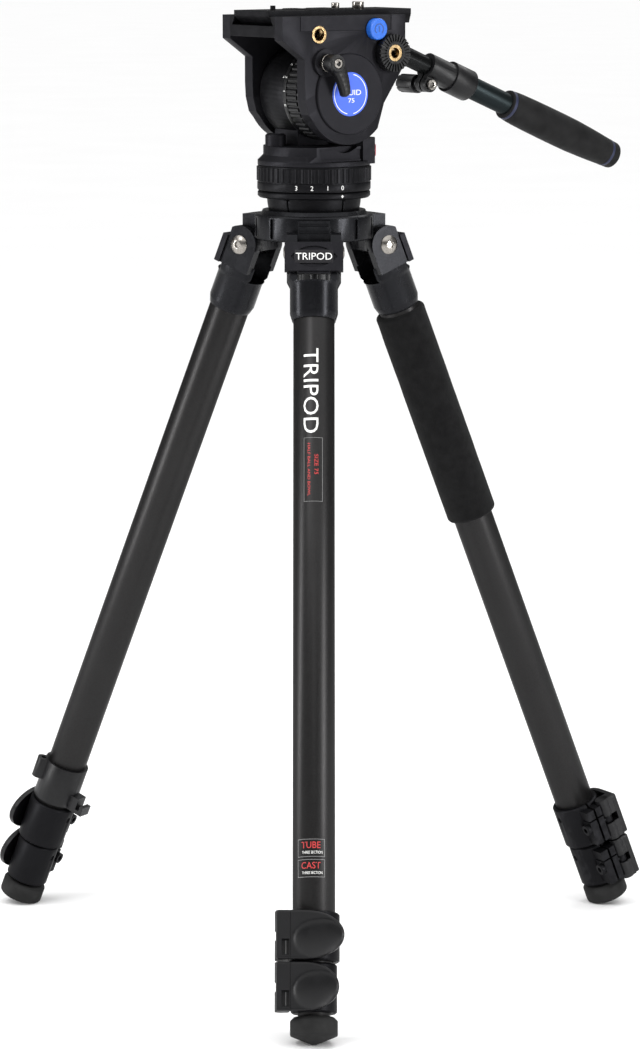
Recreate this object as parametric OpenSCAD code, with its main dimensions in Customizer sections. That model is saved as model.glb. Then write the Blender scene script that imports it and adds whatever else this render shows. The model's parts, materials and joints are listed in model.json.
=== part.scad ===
// Three-section video tripod with a 75 mm bowl, a levelling half ball and a fluid pan-and-tilt head.
// Millimetres. +Z is up and z = 0 is the floor. The origin is on the floor under the tripod's axis.

/* [Stance] */
// Angle between each leg and the vertical
leg_splay = 22.3; // [18:0.1:24]
// Distance from the tripod's axis to a leg's hinge
hinge_radius = 57.3; // [56:0.1:60]
// Distance from a leg's hinge to the tip of its foot, with the leg closed
leg_length = 622; // [615:1:640]
// Direction in which the head points, turned about the vertical
head_yaw = 216; // [0:1:360]

/* [Leg tubes] */
// Outer diameter of the upper tube
upper_d = 32.4; // [31:0.1:33]
// Wall thickness of every tube
tube_wall = 1.5; // [1:0.1:1.8]
// Gap between a tube and the tube that slides in it
slide_gap = 0.5; // [0.3:0.1:0.6]
// Distance from the hinge to the lower end of the upper tube
upper_end = 541; // [530:1:550]
// Distance from the hinge to the lower end of the middle tube
middle_end = 580; // [575:1:585]

/* [Leg locks] */
// Height of each lock's clamp along the leg
lock_h = 37; // [34:1:37]
// Outer radius of the upper lock's band
upper_lock_r = 19.5; // [19:0.1:20]
// Outer radius of the lower lock's band
lower_lock_r = 17.5; // [17:0.1:18]
// Thickness of a lock's lever
lever_t = 4.6; // [3:0.1:6]

/* [Feet and grip] */
// Radius of a rubber foot
foot_r = 18; // [16:0.5:20]
// Radius of the foam grip
foam_r = 20.5; // [19:0.5:22]
// Length of the foam grip
foam_len = 187; // [150:1:200]

/* [Bowl] */
// Radius of the half ball
ball_r = 37.5; // [37.5:0.1:37.5]
// Height of the half ball's centre
ball_z = 615; // [614:0.5:616]
// Outer radius of the bowl's ring
ring_r = 47.5; // [47:0.1:48]

/* [Pan base] */
// Radius of the pan drag ring
drag_ring_r = 45.8; // [45:0.1:46]
// Number of ribs round the pan drag ring
drag_ribs = 54; // [36:1:72]
// Radius of the pan housing's flange
housing_r = 45; // [44:0.1:45.5]

/* [Tilt head] */
// Distance of the tilt axis behind the pan axis
tilt_back = 4; // [2:0.5:6]
// Height of the tilt axis
tilt_z = 698; // [697:0.5:699]
// Radius of the tilt drag cartridge
drum_r = 37; // [35:0.1:37.5]
// Thickness of each side cheek
cheek_t = 10.6; // [10:0.1:11]
// Radius of the round badge on the left cheek
badge_r = 17.4; // [15:0.1:18]

/* [Quick plate] */
// Length of the sliding camera plate
plate_len = 140; // [110:1:150]
// Height of the top of the camera plate
plate_top = 763.5; // [763:0.1:764]

/* [Pan handle] */
// Slope of the handle's tube below the horizontal
handle_drop = 22.07; // [10:0.1:30]
// Length of the rubber grip
grip_len = 128; // [100:1:140]

/* [Hidden] */
$fn = 64;
LEGS = ["front", "right", "left"];
LEG_AZIMUTH = [-90, 30, 150];

// fits
run = 0.05;
gap = 0.3;
over = 1;

// leg
hinge_z = leg_length * cos(leg_splay);
middle_d = upper_d - 2 * tube_wall - 2 * slide_gap;
lower_d = middle_d - 2 * tube_wall - 2 * slide_gap;
upper_start = 31;
middle_start = 50;
lower_start = 65;
yoke_half = 21.3;
fork_half = 13;
ear_r = 15.5;
collar_r = 18.85;
lug_half = 12.7;
lug_r = 9.5;
bolt_r = 4;
latch_face = 11.4;
lock_top = [522.5, 561];
pivot_u = 12;
pivot_v = -24;
hub_r = 5.5;
foot_top = 600.7;
foot_cone = foot_r * tan(leg_splay);

// bowl and pan
bowl_r = ball_r + run;
ring_low = 581.6;
ring_high = 602;
rim_r = 41;
flange_low = 615;
ring_bottom = 621;
post_r = 28;
spindle_r = 14;
lock_side = 144;
level_x = 30.5;
level_y = -10;
lock_face = 48.6;
housing_low = 641;
housing_top = 656;
flat_y = 34;

// tilt
tilt_x = -tilt_back;
shaft_r = 8;
drum_left = 4;
drum_right = -29.4;
dial_r = 38;
cheek_in = 30.4;
cheek_out = cheek_in + cheek_t;
deck_low = 743;
deck_top = 752;
rail_top = 759.5;
rosette_x = -44.5;
rosette_z = 729.5;
rosette_r = 14.7;
insert_r = 6.7;
lock_x = 19.8;
lock_z = 723;
button_x = -30;
button_z = 748.5;
bushing_x = 24.6;
bushing_z = 745;
small_screw_x = -21;
large_screw_x = -43.5;
small_thread_r = 3.175;
large_thread_r = 4.7625;

// handle
handle_y = -56;
elbow = [-126, handle_y, 725];
handle_rod_r = 7.75;
clamp_s = 32;
clamp_drop = 14.3;
clamp_bolt_s = clamp_s + 5.4;
collar_s = 57;
grip_s = 123;

CASTING = [0.08, 0.08, 0.09];
SATIN = [0.2, 0.2, 0.21];
SOFT = [0.1, 0.1, 0.1];
STEEL = [0.75, 0.73, 0.7];
BRASS = [0.8, 0.62, 0.35];
BLUE = [0.2, 0.33, 0.8];
RED = [0.85, 0.1, 0.15];

// ---------- placing ----------

// A leg's frame: the origin is its hinge, +X faces outward and -Z runs down the leg.
module on_leg(azimuth) {
    rotate([0, 0, azimuth]) translate([hinge_radius, 0, hinge_z]) rotate([0, -leg_splay, 0]) children();
}

// The head's frame: +X points the way the lens looks and +Y is the operator's left.
module on_head() {
    rotate([0, 0, head_yaw]) children();
}

// The handle's frame: the origin is the elbow and +Z runs along the handle's tube.
module on_handle() {
    on_head() translate(elbow) rotate([0, -90 - handle_drop, 0]) children();
}

// A round stretch of a leg between two distances from its hinge.
module stretch(from, to, r) {
    translate([0, 0, -to]) cylinder(h = to - from, r = r);
}

// A tapered stretch of a leg.
module taper(from, to, r_from, r_to) {
    translate([0, 0, -to]) cylinder(h = to - from, r1 = r_to, r2 = r_from);
}

// A tube between two distances from the hinge.
module pipe(from, to, d) {
    difference() {
        stretch(from, to, d / 2);
        stretch(from - over, to + over, d / 2 - tube_wall);
    }
}

// A cylinder along Y from one y to another, through the point (x, z).
module along_y(x, z, from, to, r, facets = 64) {
    translate([x, to, z]) rotate([90, 0, 0]) cylinder(h = to - from, r = r, $fn = facets);
}

// A box given by its lowest and highest corners.
module span(low, high) {
    translate(low) cube(high - low);
}

// A plate with a flat outline in X and Z, between two values of y.
module upright_plate(from, to, points) {
    translate([0, to, 0]) rotate([90, 0, 0]) linear_extrude(to - from) polygon(points);
}

// Points of an arc, from one angle to another, about a centre.
function arc(centre, r, from, to, steps = 16) =
    [for (i = [0:steps]) let (a = from + (to - from) * i / steps) centre + r * [cos(a), sin(a)]];

// Outline of a ring with square ribs, as seen from above.
function ribbed(r, depth, count) =
    [for (i = [0:count - 1], c = [[0, 0], [0.2, 1], [0.6, 1], [0.8, 0]])
        let (a = 360 * (i + c[0]) / count) (r - depth + depth * c[1]) * [cos(a), sin(a)]];

// ---------- leg ----------

// Fork that hinges on the crown and holds the upper tube.
module yoke(azimuth) {
    color(CASTING) on_leg(azimuth) difference() {
        union() {
            along_y(0, 0, -yoke_half, yoke_half, ear_r);
            span([-ear_r, -yoke_half, -20], [ear_r, yoke_half, 0]);
            stretch(15, 25, yoke_half);
            taper(25, 30, yoke_half, collar_r);
            stretch(30, 51, collar_r);
            taper(51, 57, collar_r, 17);
        }
        span([-30, -fork_half, -28], [30, fork_half, 30]);
        span([latch_face - gap, -30, -27], [30, 30, 16]);
        along_y(0, 0, -30, 30, bolt_r + run);
        stretch(upper_start, 60, upper_d / 2);
    }
}

// Spring-loaded catch on the outer face of a yoke that sets the leg's angle.
module angle_latch(azimuth) {
    lens_r = 24;
    lens_u = latch_face + 4.8;
    color(CASTING) on_leg(azimuth) difference() {
        union() {
            span([latch_face, -23, -20.2], [lens_u, 23, 3.6]);
            span([latch_face - 1.6, -lug_half, -12], [latch_face, lug_half, -1]);
            span([latch_face, -12.5, -21.8], [lens_u - 1.6, 12.5, -20.2]);
        }
        difference() {
            translate([lens_u - 1.6, 0, -8.3]) rotate([0, 90, 0]) linear_extrude(4) intersection() {
                translate([lens_r - 8.6, 0]) circle(r = lens_r);
                translate([8.6 - lens_r, 0]) circle(r = lens_r);
            }
            span([lens_u - 2, -15.5, -13.9], [lens_u - 0.5, 15.5, -2.7]);
        }
    }
}

// One tube of a leg.
module leg_tube(azimuth, from, to, d) {
    color(SATIN) on_leg(azimuth) pipe(from, to, d);
}

// Split band that grips the tube above and the tube below, with its tie bolt and pivot pin.
module clamp(azimuth, top, band_r, tube_d, inner_d, tube_to) {
    bottom = top + lock_h;
    middle = top + lock_h / 2;
    ear_face = pivot_u - hub_r - gap;
    color(CASTING) on_leg(azimuth) difference() {
        union() {
            taper(top, top + 1.2, band_r - 1.2, band_r);
            stretch(top + 1.2, bottom - 1.2, band_r);
            taper(bottom - 1.2, bottom, band_r, band_r - 1.2);
            span([-8, -28.5, -bottom + 3], [ear_face, -band_r + 6, -top - 3]);
        }
        stretch(top - over, tube_to + 0.2, tube_d / 2 + run);
        stretch(top - over, bottom + over, inner_d / 2 + run);
        span([-1, -30, -bottom - over], [1, 0, -top + over]);
        span([-9, -30, -top - 12.4], [ear_face + over, -band_r + 0.5, -top - 11]);
        translate([-20, pivot_v, -middle]) rotate([0, 90, 0]) cylinder(h = 40, r = 2.6);
        translate([-30, 0, -middle + 9]) rotate([0, 90, 0]) cylinder(h = 30 - band_r + 1, r = 2.4);
    }
    color(STEEL) on_leg(azimuth) {
        difference() {
            union() {
                translate([-8.1, pivot_v, -middle]) rotate([0, 90, 0]) cylinder(h = pivot_u + 8.1, r = 2.5);
                translate([-12, pivot_v, -middle]) rotate([0, 90, 0]) cylinder(h = 3.9, r = 4.6);
                translate([pivot_u, pivot_v, -middle - 3]) cylinder(h = 6, r = 4);
                translate([pivot_u, pivot_v, -middle - 15]) cylinder(h = 30, r = 2);
            }
            translate([-13, pivot_v, -middle]) rotate([0, 90, 0]) cylinder(h = 3, r = 2.6, $fn = 6);
        }
    }
}

// Flip lever of a lock: a knuckled hub on the pivot pin and a tapering, dished thumb tab.
module flip_lever(azimuth, top, band_r, reach) {
    half = lock_h / 2;
    middle = top + half;
    plate_u = band_r + 0.4;
    arch = -10;
    tab = concat([[-30, -half], [arch, -half]],
        [for (a = [-85:10:85]) [arch + (reach - arch) * cos(a), half * sin(a)]],
        [[arch, half], [-30, half]]);
    dish_r = 60;
    color(CASTING) on_leg(azimuth) translate([0, 0, -middle]) difference() {
        union() {
            translate([pivot_u, pivot_v, -half]) cylinder(h = lock_h, r = hub_r);
            span([pivot_u, pivot_v - 4.5, -half], [plate_u + lever_t, pivot_v + 4.5, half]);
            rotate([90, 0, 90]) translate([0, 0, plate_u]) linear_extrude(lever_t) polygon(tab);
        }
        span([pivot_u - 10, pivot_v - 10, -3.4], [pivot_u + 4.4, pivot_v + 4.4, 3.4]);
        translate([pivot_u, pivot_v, -15.3]) cylinder(h = 30.6, r = 2 + run);
        translate([plate_u + 0.6, pivot_v - 0.5, -half + 4]) cube([lever_t, 6, 11]);
        translate([plate_u + lever_t + dish_r - 1.3, 5, 0]) sphere(r = dish_r);
    }
}

// Rubber foot: its cone has the slope of the leg, so it lies flat on the floor.
module foot(azimuth) {
    color(SOFT) on_leg(azimuth) difference() {
        union() {
            taper(foot_top, foot_top + 2.8, foot_r - 2.8, foot_r);
            stretch(foot_top + 2.8, leg_length - foot_cone, foot_r);
            taper(leg_length - foot_cone, leg_length, foot_r, 0);
        }
        stretch(foot_top - over, foot_top + 9, lower_d / 2);
    }
}

// ---------- crown ----------

// Bowl casting with three hinge arms.
module crown() {
    color(CASTING) difference() {
        union() {
            translate([0, 0, ring_low]) cylinder(h = 1.5, r1 = ring_r - 1.5, r2 = ring_r);
            translate([0, 0, ring_low + 1.5]) cylinder(h = ring_high - ring_low - 3, r = ring_r);
            translate([0, 0, ring_high - 1.5]) cylinder(h = 1.5, r1 = ring_r, r2 = ring_r - 1.5);
            translate([0, 0, ring_high]) cylinder(h = 3, r1 = rim_r + 1.5, r2 = rim_r);
            intersection() {
                translate([0, 0, ball_z]) sphere(r = rim_r + 0.5, $fn = 96);
                translate([0, 0, ring_low - 6]) cylinder(h = 10, r = rim_r);
            }
            for (a = LEG_AZIMUTH) rotate([0, 0, a]) arm();
        }
        translate([0, 0, ball_z]) sphere(r = bowl_r, $fn = 96);
        translate([0, 0, ring_low - 10]) cylinder(h = 20, r = 15);
        for (a = LEG_AZIMUTH) rotate([0, 0, a]) {
            for (s = [-1, 1]) along_y(hinge_radius, hinge_z, s * 17.3 - 4.6, s * 17.3 + 4.6, ear_r + 1);
            along_y(hinge_radius, hinge_z, -20, 20, bolt_r + run);
            for (s = [-45, 45]) rotate([0, 0, s]) translate([ring_r - 2, 0, ring_low + 3.5]) ring_slot();
        }
    }
}

// One arm of the crown: a shoulder on top and the lug of the hinge below it.
module arm() {
    difference() {
        union() {
            span([38, -lug_half, 584], [59, lug_half, 600]);
            span([38, -lug_half, 570], [hinge_radius, lug_half, 588]);
            along_y(hinge_radius, hinge_z, -lug_half, lug_half, lug_r);
        }
        for (z = [590, 595.4]) span([57.6, -lug_half + 1.2, z], [60, lug_half - 1.2, z + 2.6]);
        translate([0, 0, 560]) cylinder(h = 20, r = 44);
        translate([0, 0, ball_z]) sphere(r = rim_r - 0.5, $fn = 96);
    }
}

// Upright pocket in the outside of the ring.
module ring_slot() {
    for (z = [0, 13]) translate([0, 0, z]) rotate([0, 90, 0]) cylinder(h = 4, r = 1.6);
    span([0, -1.6, 0], [4, 1.6, 13]);
}

// Hinge bolts with domed heads and hexagon sockets.
module hinge_bolts() {
    dome = 12;
    head_y = yoke_half + gap;
    for (a = LEG_AZIMUTH) color(STEEL) rotate([0, 0, a]) translate([hinge_radius, 0, hinge_z]) difference() {
        union() {
            along_y(0, 0, -head_y - 1, head_y + 1, bolt_r);
            for (s = [-1, 1]) intersection() {
                along_y(0, 0, s * (head_y + 1.4) - 1.4, s * (head_y + 1.4) + 1.4, 7.75);
                translate([0, s * (head_y + 2.8 - dome), 0]) sphere(r = dome);
            }
        }
        for (s = [-1, 1]) along_y(0, 0, s * (head_y + 2) - 0.9, s * (head_y + 2) + 0.9, 2.9, 6);
    }
}

// Foam sleeve on one upper tube.
module foam_grip() {
    color(SOFT) on_leg(LEG_AZIMUTH[1]) difference() {
        union() {
            taper(60, 62, foam_r - 1.5, foam_r);
            stretch(62, 58 + foam_len, foam_r);
            taper(58 + foam_len, 60 + foam_len, foam_r, foam_r - 1.5);
        }
        stretch(50, 70 + foam_len, upper_d / 2);
    }
}

// Clip on one upper tube that hooks the folded legs together.
module transport_catch() {
    color(CASTING) on_leg(LEG_AZIMUTH[2]) difference() {
        union() {
            stretch(485, 519, upper_d / 2 + 2.4);
            rotate([0, 0, 45]) translate([21, 0, -503]) cylinder(h = 18, r = 5);
            rotate([0, 0, 45]) span([15, -5, -503], [21, 5, -485]);
            span([-25, -6, -520], [-16, 6, -507]);
            span([-32, -6, -520], [-25, 6, -516.5]);
            span([-32, -6, -516.5], [-28.5, 6, -512]);
        }
        stretch(480, 525, upper_d / 2);
        rotate([0, 0, 45]) translate([21, 0, -505]) cylinder(h = 22, r = 2.2);
    }
}

// ---------- half ball ----------

// Levelling half ball with its index flange and the pan bearing's post.
module half_ball() {
    color(CASTING) difference() {
        union() {
            difference() {
                translate([0, 0, ball_z]) sphere(r = ball_r, $fn = 96);
                translate([0, 0, ball_z - 50]) cylinder(h = 18, r = 50);
                translate([0, 0, ball_z]) cylinder(h = 50, r = 50);
            }
            translate([0, 0, flange_low]) cylinder(h = 1.4, r1 = housing_r - 1.4, r2 = housing_r);
            translate([0, 0, flange_low + 1.4]) cylinder(h = 2.8, r = housing_r);
            translate([0, 0, flange_low + 4.2]) cylinder(h = 1.3, r1 = housing_r, r2 = housing_r - 1.3);
            cylinder_at(flange_low + 5.5, 640.6, post_r);
            cylinder_at(640, 654.6, spindle_r);
        }
        cylinder_at(580, 609, 5.3);
        for (a = [20:72:308]) rotate([0, 0, a])
            span([ball_r - 3, -0.6, ball_z - 14], [ball_r + 3, 0.6, ball_z - 0.2]);
    }
}

// A round solid on the pan axis between two heights.
module cylinder_at(low, high, r) {
    translate([0, 0, low]) cylinder(h = high - low, r = r);
}

// Dished washer that slides on the underside of the bowl.
module tie_down_washer() {
    inner = rim_r + 0.8;
    color(CASTING) intersection() {
        difference() {
            translate([0, 0, ball_z]) sphere(r = inner + 4, $fn = 96);
            translate([0, 0, ball_z]) sphere(r = inner, $fn = 96);
            cylinder_at(550, 600, 12);
        }
        cylinder_at(560, 585, 20);
    }
}

// Knob with a moulded-in stud that pulls the half ball into the bowl.
module tie_down_knob() {
    lobes = 8;
    top = ball_z - rim_r - 5.2;
    color(CASTING) difference() {
        union() {
            cylinder_at(534.5, top - 2, 17);
            translate([0, 0, 533]) cylinder(h = 1.5, r1 = 15.5, r2 = 17);
            translate([0, 0, top - 2]) cylinder(h = 2, r1 = 17, r2 = 14);
        }
        for (i = [0:lobes - 1]) rotate([0, 0, 360 * i / lobes]) translate([20, 0, 530])
            cylinder(h = 40, r = 4.6);
    }
    color(STEEL) cylinder_at(top, 608, 5);
}

// ---------- pan base ----------

// Ribbed ring that sets the pan drag.
module pan_drag_ring() {
    color(CASTING) difference() {
        union() {
            cylinder_at(ring_bottom, ring_bottom + 0.8, drag_ring_r - 0.8);
            cylinder_at(ring_bottom + 0.8, ring_bottom + 6.2, drag_ring_r - 0.5);
            cylinder_at(ring_bottom + 6.2, 640.5, drag_ring_r - 1.1);
            translate([0, 0, ring_bottom + 7.4]) linear_extrude(11)
                polygon(ribbed(drag_ring_r, 0.9, drag_ribs));
        }
        cylinder_at(600, 650, post_r + gap);
    }
}

// Pan housing: it turns on the half ball's post and carries the tilt cartridge on a saddle.
module pan_housing() {
    color(CASTING) on_head() difference() {
        union() {
            cylinder_at(housing_low, 644.5, housing_r);
            intersection() {
                union() {
                    translate([0, 0, 644.5]) cylinder(h = 4.5, r1 = housing_r, r2 = 40.5);
                    cylinder_at(648, housing_top, 40.5);
                }
                span([-50, -flat_y, 640], [50, flat_y, 670]);
            }
            rear_block();
            span([-22, drum_right + 1, 655], [18, drum_left - 1, 673]);
        }
        along_y(tilt_x, tilt_z, -60, 60, drum_r);
        along_y(tilt_x, tilt_z, drum_left - 0.6, 26, dial_r + 1.4);
        cylinder_at(630, 654.9, spindle_r + run);
        span([-21.5, flat_y - 0.8, 645.8], [17.6, flat_y + 12, 654]);
        along_y(-6, 668, flat_y - 6, 60, 17);
        rotate([0, 0, lock_side]) {
            translate([lock_face - 11, 0, 652]) rotate([0, 90, 0]) cylinder(h = 20, r = 5.3);
            span([lock_face - 3, 0, 646.7], [lock_face + 5, 30, 657.3]);
        }
        translate([level_x, level_y, 652]) cylinder(h = 20, r = 6.1);
    }
    color(CASTING) on_head() difference() {
        union() {
            translate([level_x, level_y, 655.9]) cylinder(h = 8.6, r = 8.2);
            translate([level_x, level_y, 664.5]) cylinder(h = 1.2, r1 = 8.2, r2 = 7);
        }
        translate([level_x, level_y, 650]) cylinder(h = 20, r = 6.1);
        along_y(tilt_x, tilt_z, -60, 60, drum_r + gap);
    }
}

// Raised block at the back of the pan housing, with a face for the pan lock across its left corner.
module rear_block() {
    intersection() {
        span([-44, -30, 642], [-22, 36, 662]);
        cylinder_at(640, 665, 53);
        rotate([0, 0, lock_side]) span([-60, -60, 640], [lock_face, 60, 665]);
    }
}

// Pan lock: a round push button that faces the rear left.
module pan_lock_button() {
    color(RED) on_head() rotate([0, 0, lock_side]) translate([lock_face - 8, 0, 652]) rotate([0, 90, 0]) {
        cylinder(h = 8.2, r = 5);
        translate([0, 0, 8.2]) cylinder(h = 0.6, r1 = 5, r2 = 4.4);
    }
}

// Round spirit level in the front of the pan housing.
module bubble_level() {
    color([0.75, 0.85, 0.35]) on_head() translate([level_x, level_y, 653]) {
        cylinder(h = 9.6, r = 6);
        translate([0, 0, 9.6]) cylinder(h = 0.8, r1 = 6, r2 = 5.2);
    }
}

// ---------- tilt head ----------

// Fluid drag cartridge, a drum that is fixed to the pan housing.
module tilt_cartridge() {
    color(CASTING) on_head() difference() {
        union() {
            along_y(tilt_x, tilt_z, drum_right + 1.5, drum_left, drum_r);
            along_y(tilt_x, tilt_z, drum_right, drum_right + 1.6, drum_r - 1.5);
        }
        along_y(tilt_x, tilt_z, -60, 60, shaft_r + run);
    }
}

// Shaft of the tilt axis, through the cartridge, the dial and both cheeks.
module tilt_shaft() {
    color(STEEL) on_head() along_y(tilt_x, tilt_z, -38, 38, shaft_r);
}

// Ribbed dial that sets the tilt drag.
module tilt_drag_dial() {
    band = 8.2;
    color(CASTING) on_head() difference() {
        union() {
            along_y(tilt_x, tilt_z, drum_left + gap, band, dial_r - 0.3);
            along_y(tilt_x, tilt_z, band - 0.1, 24, dial_r - 1.2);
            translate([tilt_x, 22.4, tilt_z]) rotate([90, 0, 0]) linear_extrude(13)
                polygon(ribbed(dial_r, 1, 48));
            along_y(tilt_x, tilt_z, 23, 26, 20);
        }
        along_y(tilt_x, tilt_z, -10, 40, shaft_r + 0.4);
    }
}

// Outline shared by both cheeks, from the front top corner round the tilt axis to the back.
function cheek_outline() = concat(
    [[60, rail_top], [60, 741], [38.5, 726], [38.5, 706], [37.8, 694], [34.8, 682.5]],
    arc([tilt_x, tilt_z], 40, -32, -136, 20),
    [[-39, 690], [-60, 721], [-60, rail_top]]);

// Holes that both cheeks share: the tilt shaft and the rosette's threaded insert.
module cheek_holes() {
    along_y(tilt_x, tilt_z, -38.2, 38.2, shaft_r + run);
    along_y(rosette_x, rosette_z, -60, 60, insert_r);
}

// Left cheek: it carries the tilt lock, the plate's release button, the accessory socket and the badge.
module left_cheek() {
    seam = 0.5;
    color(CASTING) on_head() difference() {
        union() {
            upright_plate(cheek_in, cheek_out, cheek_outline());
            along_y(tilt_x, tilt_z, cheek_out - over, cheek_out + 1.7, 32);
            translate([tilt_x, cheek_out + 1.7, tilt_z]) rotate([-90, 0, 0])
                cylinder(h = 0.8, r1 = 32, r2 = 31.2);
            along_y(lock_x, lock_z, cheek_out - over, cheek_out + 3, 11);
        }
        cheek_holes();
        along_y(tilt_x, tilt_z, cheek_out + 1.7, 50, badge_r + run);
        along_y(lock_x, lock_z, 34, 60, 5.05);
        along_y(bushing_x, bushing_z, 30, 60, 6.9);
        along_y(button_x, button_z, 30, 60, 8.8);
        along_y(button_x, button_z, 30, 37, 9.8);
        difference() {
            span([-46, cheek_out - seam, 747.6], [43, 60, rail_top + over]);
            span([-46 + seam, cheek_out - over, 747.6 + seam], [43 - seam, 61, rail_top + 2]);
        }
    }
}

// Right cheek, with a dished cap over the tilt axis.
module right_cheek() {
    color(CASTING) on_head() difference() {
        union() {
            upright_plate(-cheek_out, -cheek_in, cheek_outline());
            along_y(tilt_x, tilt_z, -cheek_out - 2.5, -cheek_out + over, 32);
        }
        cheek_holes();
        along_y(tilt_x, tilt_z, -60, -cheek_out - 1.5, 24);
    }
}

// Round badge let into the left cheek's cap.
module badge_disc() {
    color(BLUE) on_head() along_y(tilt_x, tilt_z, cheek_out + 1.7, cheek_out + 2.3, badge_r);
}

// Deck between the cheeks with the dovetail rails of the camera plate.
module platform() {
    color(CASTING) on_head() {
        difference() {
            span([-60, -cheek_in, deck_low], [60, cheek_in, rail_top]);
            dovetail(-61, 61, deck_top, gap, rail_top + 2);
            for (x = [-38, 12]) span([x, -18, deck_low - over], [x + 26, 18, deck_low + 5]);
        }
    }
}

// The camera plate's dovetail, grown by an allowance.
module dovetail(from, to, low, allowance, high) {
    slope = 4 / 7.5;
    wide = 27.5 + allowance;
    narrow = wide - slope * (high - deck_top);
    translate([from, 0, 0]) rotate([90, 0, 90]) linear_extrude(to - from)
        polygon([[-wide, low], [wide, low], [narrow, high], [-narrow, high]]);
}

// Lever that locks the tilt.
module tilt_lock_lever() {
    tip = [8, 699];
    reach = norm(tip - [lock_x, lock_z]);
    lean = atan2(tip[1] - lock_z, tip[0] - lock_x);
    out = cheek_out + 3 + gap;
    color(CASTING) on_head() {
        difference() {
            union() {
                along_y(lock_x, lock_z, out, 60, 6.8);
                along_y(lock_x, lock_z, 34.5, out, 5);
                translate([lock_x, 59, lock_z]) rotate([90, -lean, 0]) linear_extrude(11)
                    polygon([[0, -6], [16, -5.2], [reach, -1], [reach + 2, 3], [16, 5], [0, 6.5]]);
            }
            along_y(lock_x, lock_z, 58, 62, 4.2);
        }
    }
    color(STEEL) on_head() difference() {
        along_y(lock_x, lock_z, 58, 60.4, 4.1);
        along_y(lock_x, lock_z, 59, 61, 2, 6);
    }
}

// Brass inserts: the accessory socket near the top and the threads of both rosettes.
module threaded_inserts() {
    color(BRASS) on_head() {
        difference() {
            along_y(bushing_x, bushing_z, cheek_out - 10, cheek_out + 0.4, 6.9);
            along_y(bushing_x, bushing_z, 30, 60, large_thread_r);
        }
        for (s = [-1, 1]) difference() {
            along_y(rosette_x, rosette_z, s * 43 - 5.5, s * 43 + 5.5, insert_r);
            along_y(rosette_x, rosette_z, s * 43 - 9, s * 43 + 9, 4);
        }
    }
}

// Toothed rosettes, one on each cheek, that hold a handle at any of many angles.
module rosettes() {
    teeth = 28;
    face = 8;
    for (s = [-1, 1]) color(CASTING) on_head() translate([rosette_x, s * cheek_out, rosette_z])
        rotate([-90 * s, 0, 0]) difference() {
            cylinder(h = face, r = rosette_r);
            translate([0, 0, -1]) cylinder(h = face + 2, r = insert_r);
            for (i = [0:teeth - 1]) rotate([0, 0, 360 * i / teeth])
                span([9, -0.6, face - 1.4], [17, 0.6, face + 1]);
        }
}

// Push button in the left cheek that frees the camera plate.
module plate_release_button() {
    color(BLUE) on_head() {
        along_y(button_x, button_z, 34, 36.4, 9.4);
        along_y(button_x, button_z, 36.4, cheek_out + 4.7, 8.4);
        translate([button_x, cheek_out + 4.7, button_z]) rotate([-90, 0, 0])
            cylinder(h = 0.8, r1 = 8.4, r2 = 7.6);
    }
}

// ---------- camera plate ----------

// Sliding camera plate with its rubber-faced top, locating pin and screw slots.
module quick_plate() {
    low = deck_top + gap;
    front = 61;
    back = front - plate_len;
    color(CASTING) on_head() difference() {
        union() {
            intersection() {
                dovetail(back, front, low, 0, rail_top + 0.3);
                upright_plate(-30, 30, [[back + 5, low], [front - 9, low], [front, rail_top],
                    [front, plate_top + 5], [back, plate_top + 5], [back, rail_top]]);
            }
            span([back, -23.4, rail_top], [front, 23.4, plate_top]);
            translate([40, 0, plate_top]) cylinder(h = 3.5, r = 2.1);
        }
        for (x = [small_screw_x, large_screw_x]) translate([x, 0, low - over]) {
            cylinder(h = 6, r = 8);
            cylinder(h = 20, r = x == small_screw_x ? 3.5 : 5.1);
        }
    }
}

// Camera screw held in the plate: a slotted head below and a thread above.
module camera_screw(x, r, proud) {
    color(STEEL) on_head() translate([x, 0, 0]) difference() {
        union() {
            translate([0, 0, deck_top + 0.6]) cylinder(h = 4.4, r = 7.6);
            translate([0, 0, deck_top + 4.9]) cylinder(h = plate_top - deck_top - 4.7, r = r - 0.2);
            translate([0, 0, plate_top + 0.1]) cylinder(h = proud - 0.6, r = r);
            translate([0, 0, plate_top + proud - 0.5]) cylinder(h = 0.5, r1 = r, r2 = r - 0.5);
        }
        span([-8, -0.7, deck_top], [8, 0.7, deck_top + 2.2]);
    }
}

// ---------- pan handle ----------

// Handle arm: a rosette that meets the right cheek's, a cranked neck and the inner rod.
module handle_arm() {
    neck = norm([elbow[0] - rosette_x, elbow[2] - rosette_z]);
    drop = atan2(rosette_z - elbow[2], rosette_x - elbow[0]);
    color(CASTING) {
        on_head() {
            along_y(rosette_x, rosette_z, -63, -cheek_out - 8 - gap, rosette_r);
            along_y(rosette_x, rosette_z, -50, -39, 3.95);
            along_y(rosette_x, rosette_z, -68, -62.9, 8.5);
            translate([rosette_x, handle_y, rosette_z]) rotate([0, -90 - drop, 0])
                cylinder(h = neck, r = handle_rod_r - 1);
            translate(elbow) sphere(r = handle_rod_r);
        }
        on_handle() cylinder(h = 215, r = handle_rod_r);
    }
}

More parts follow.
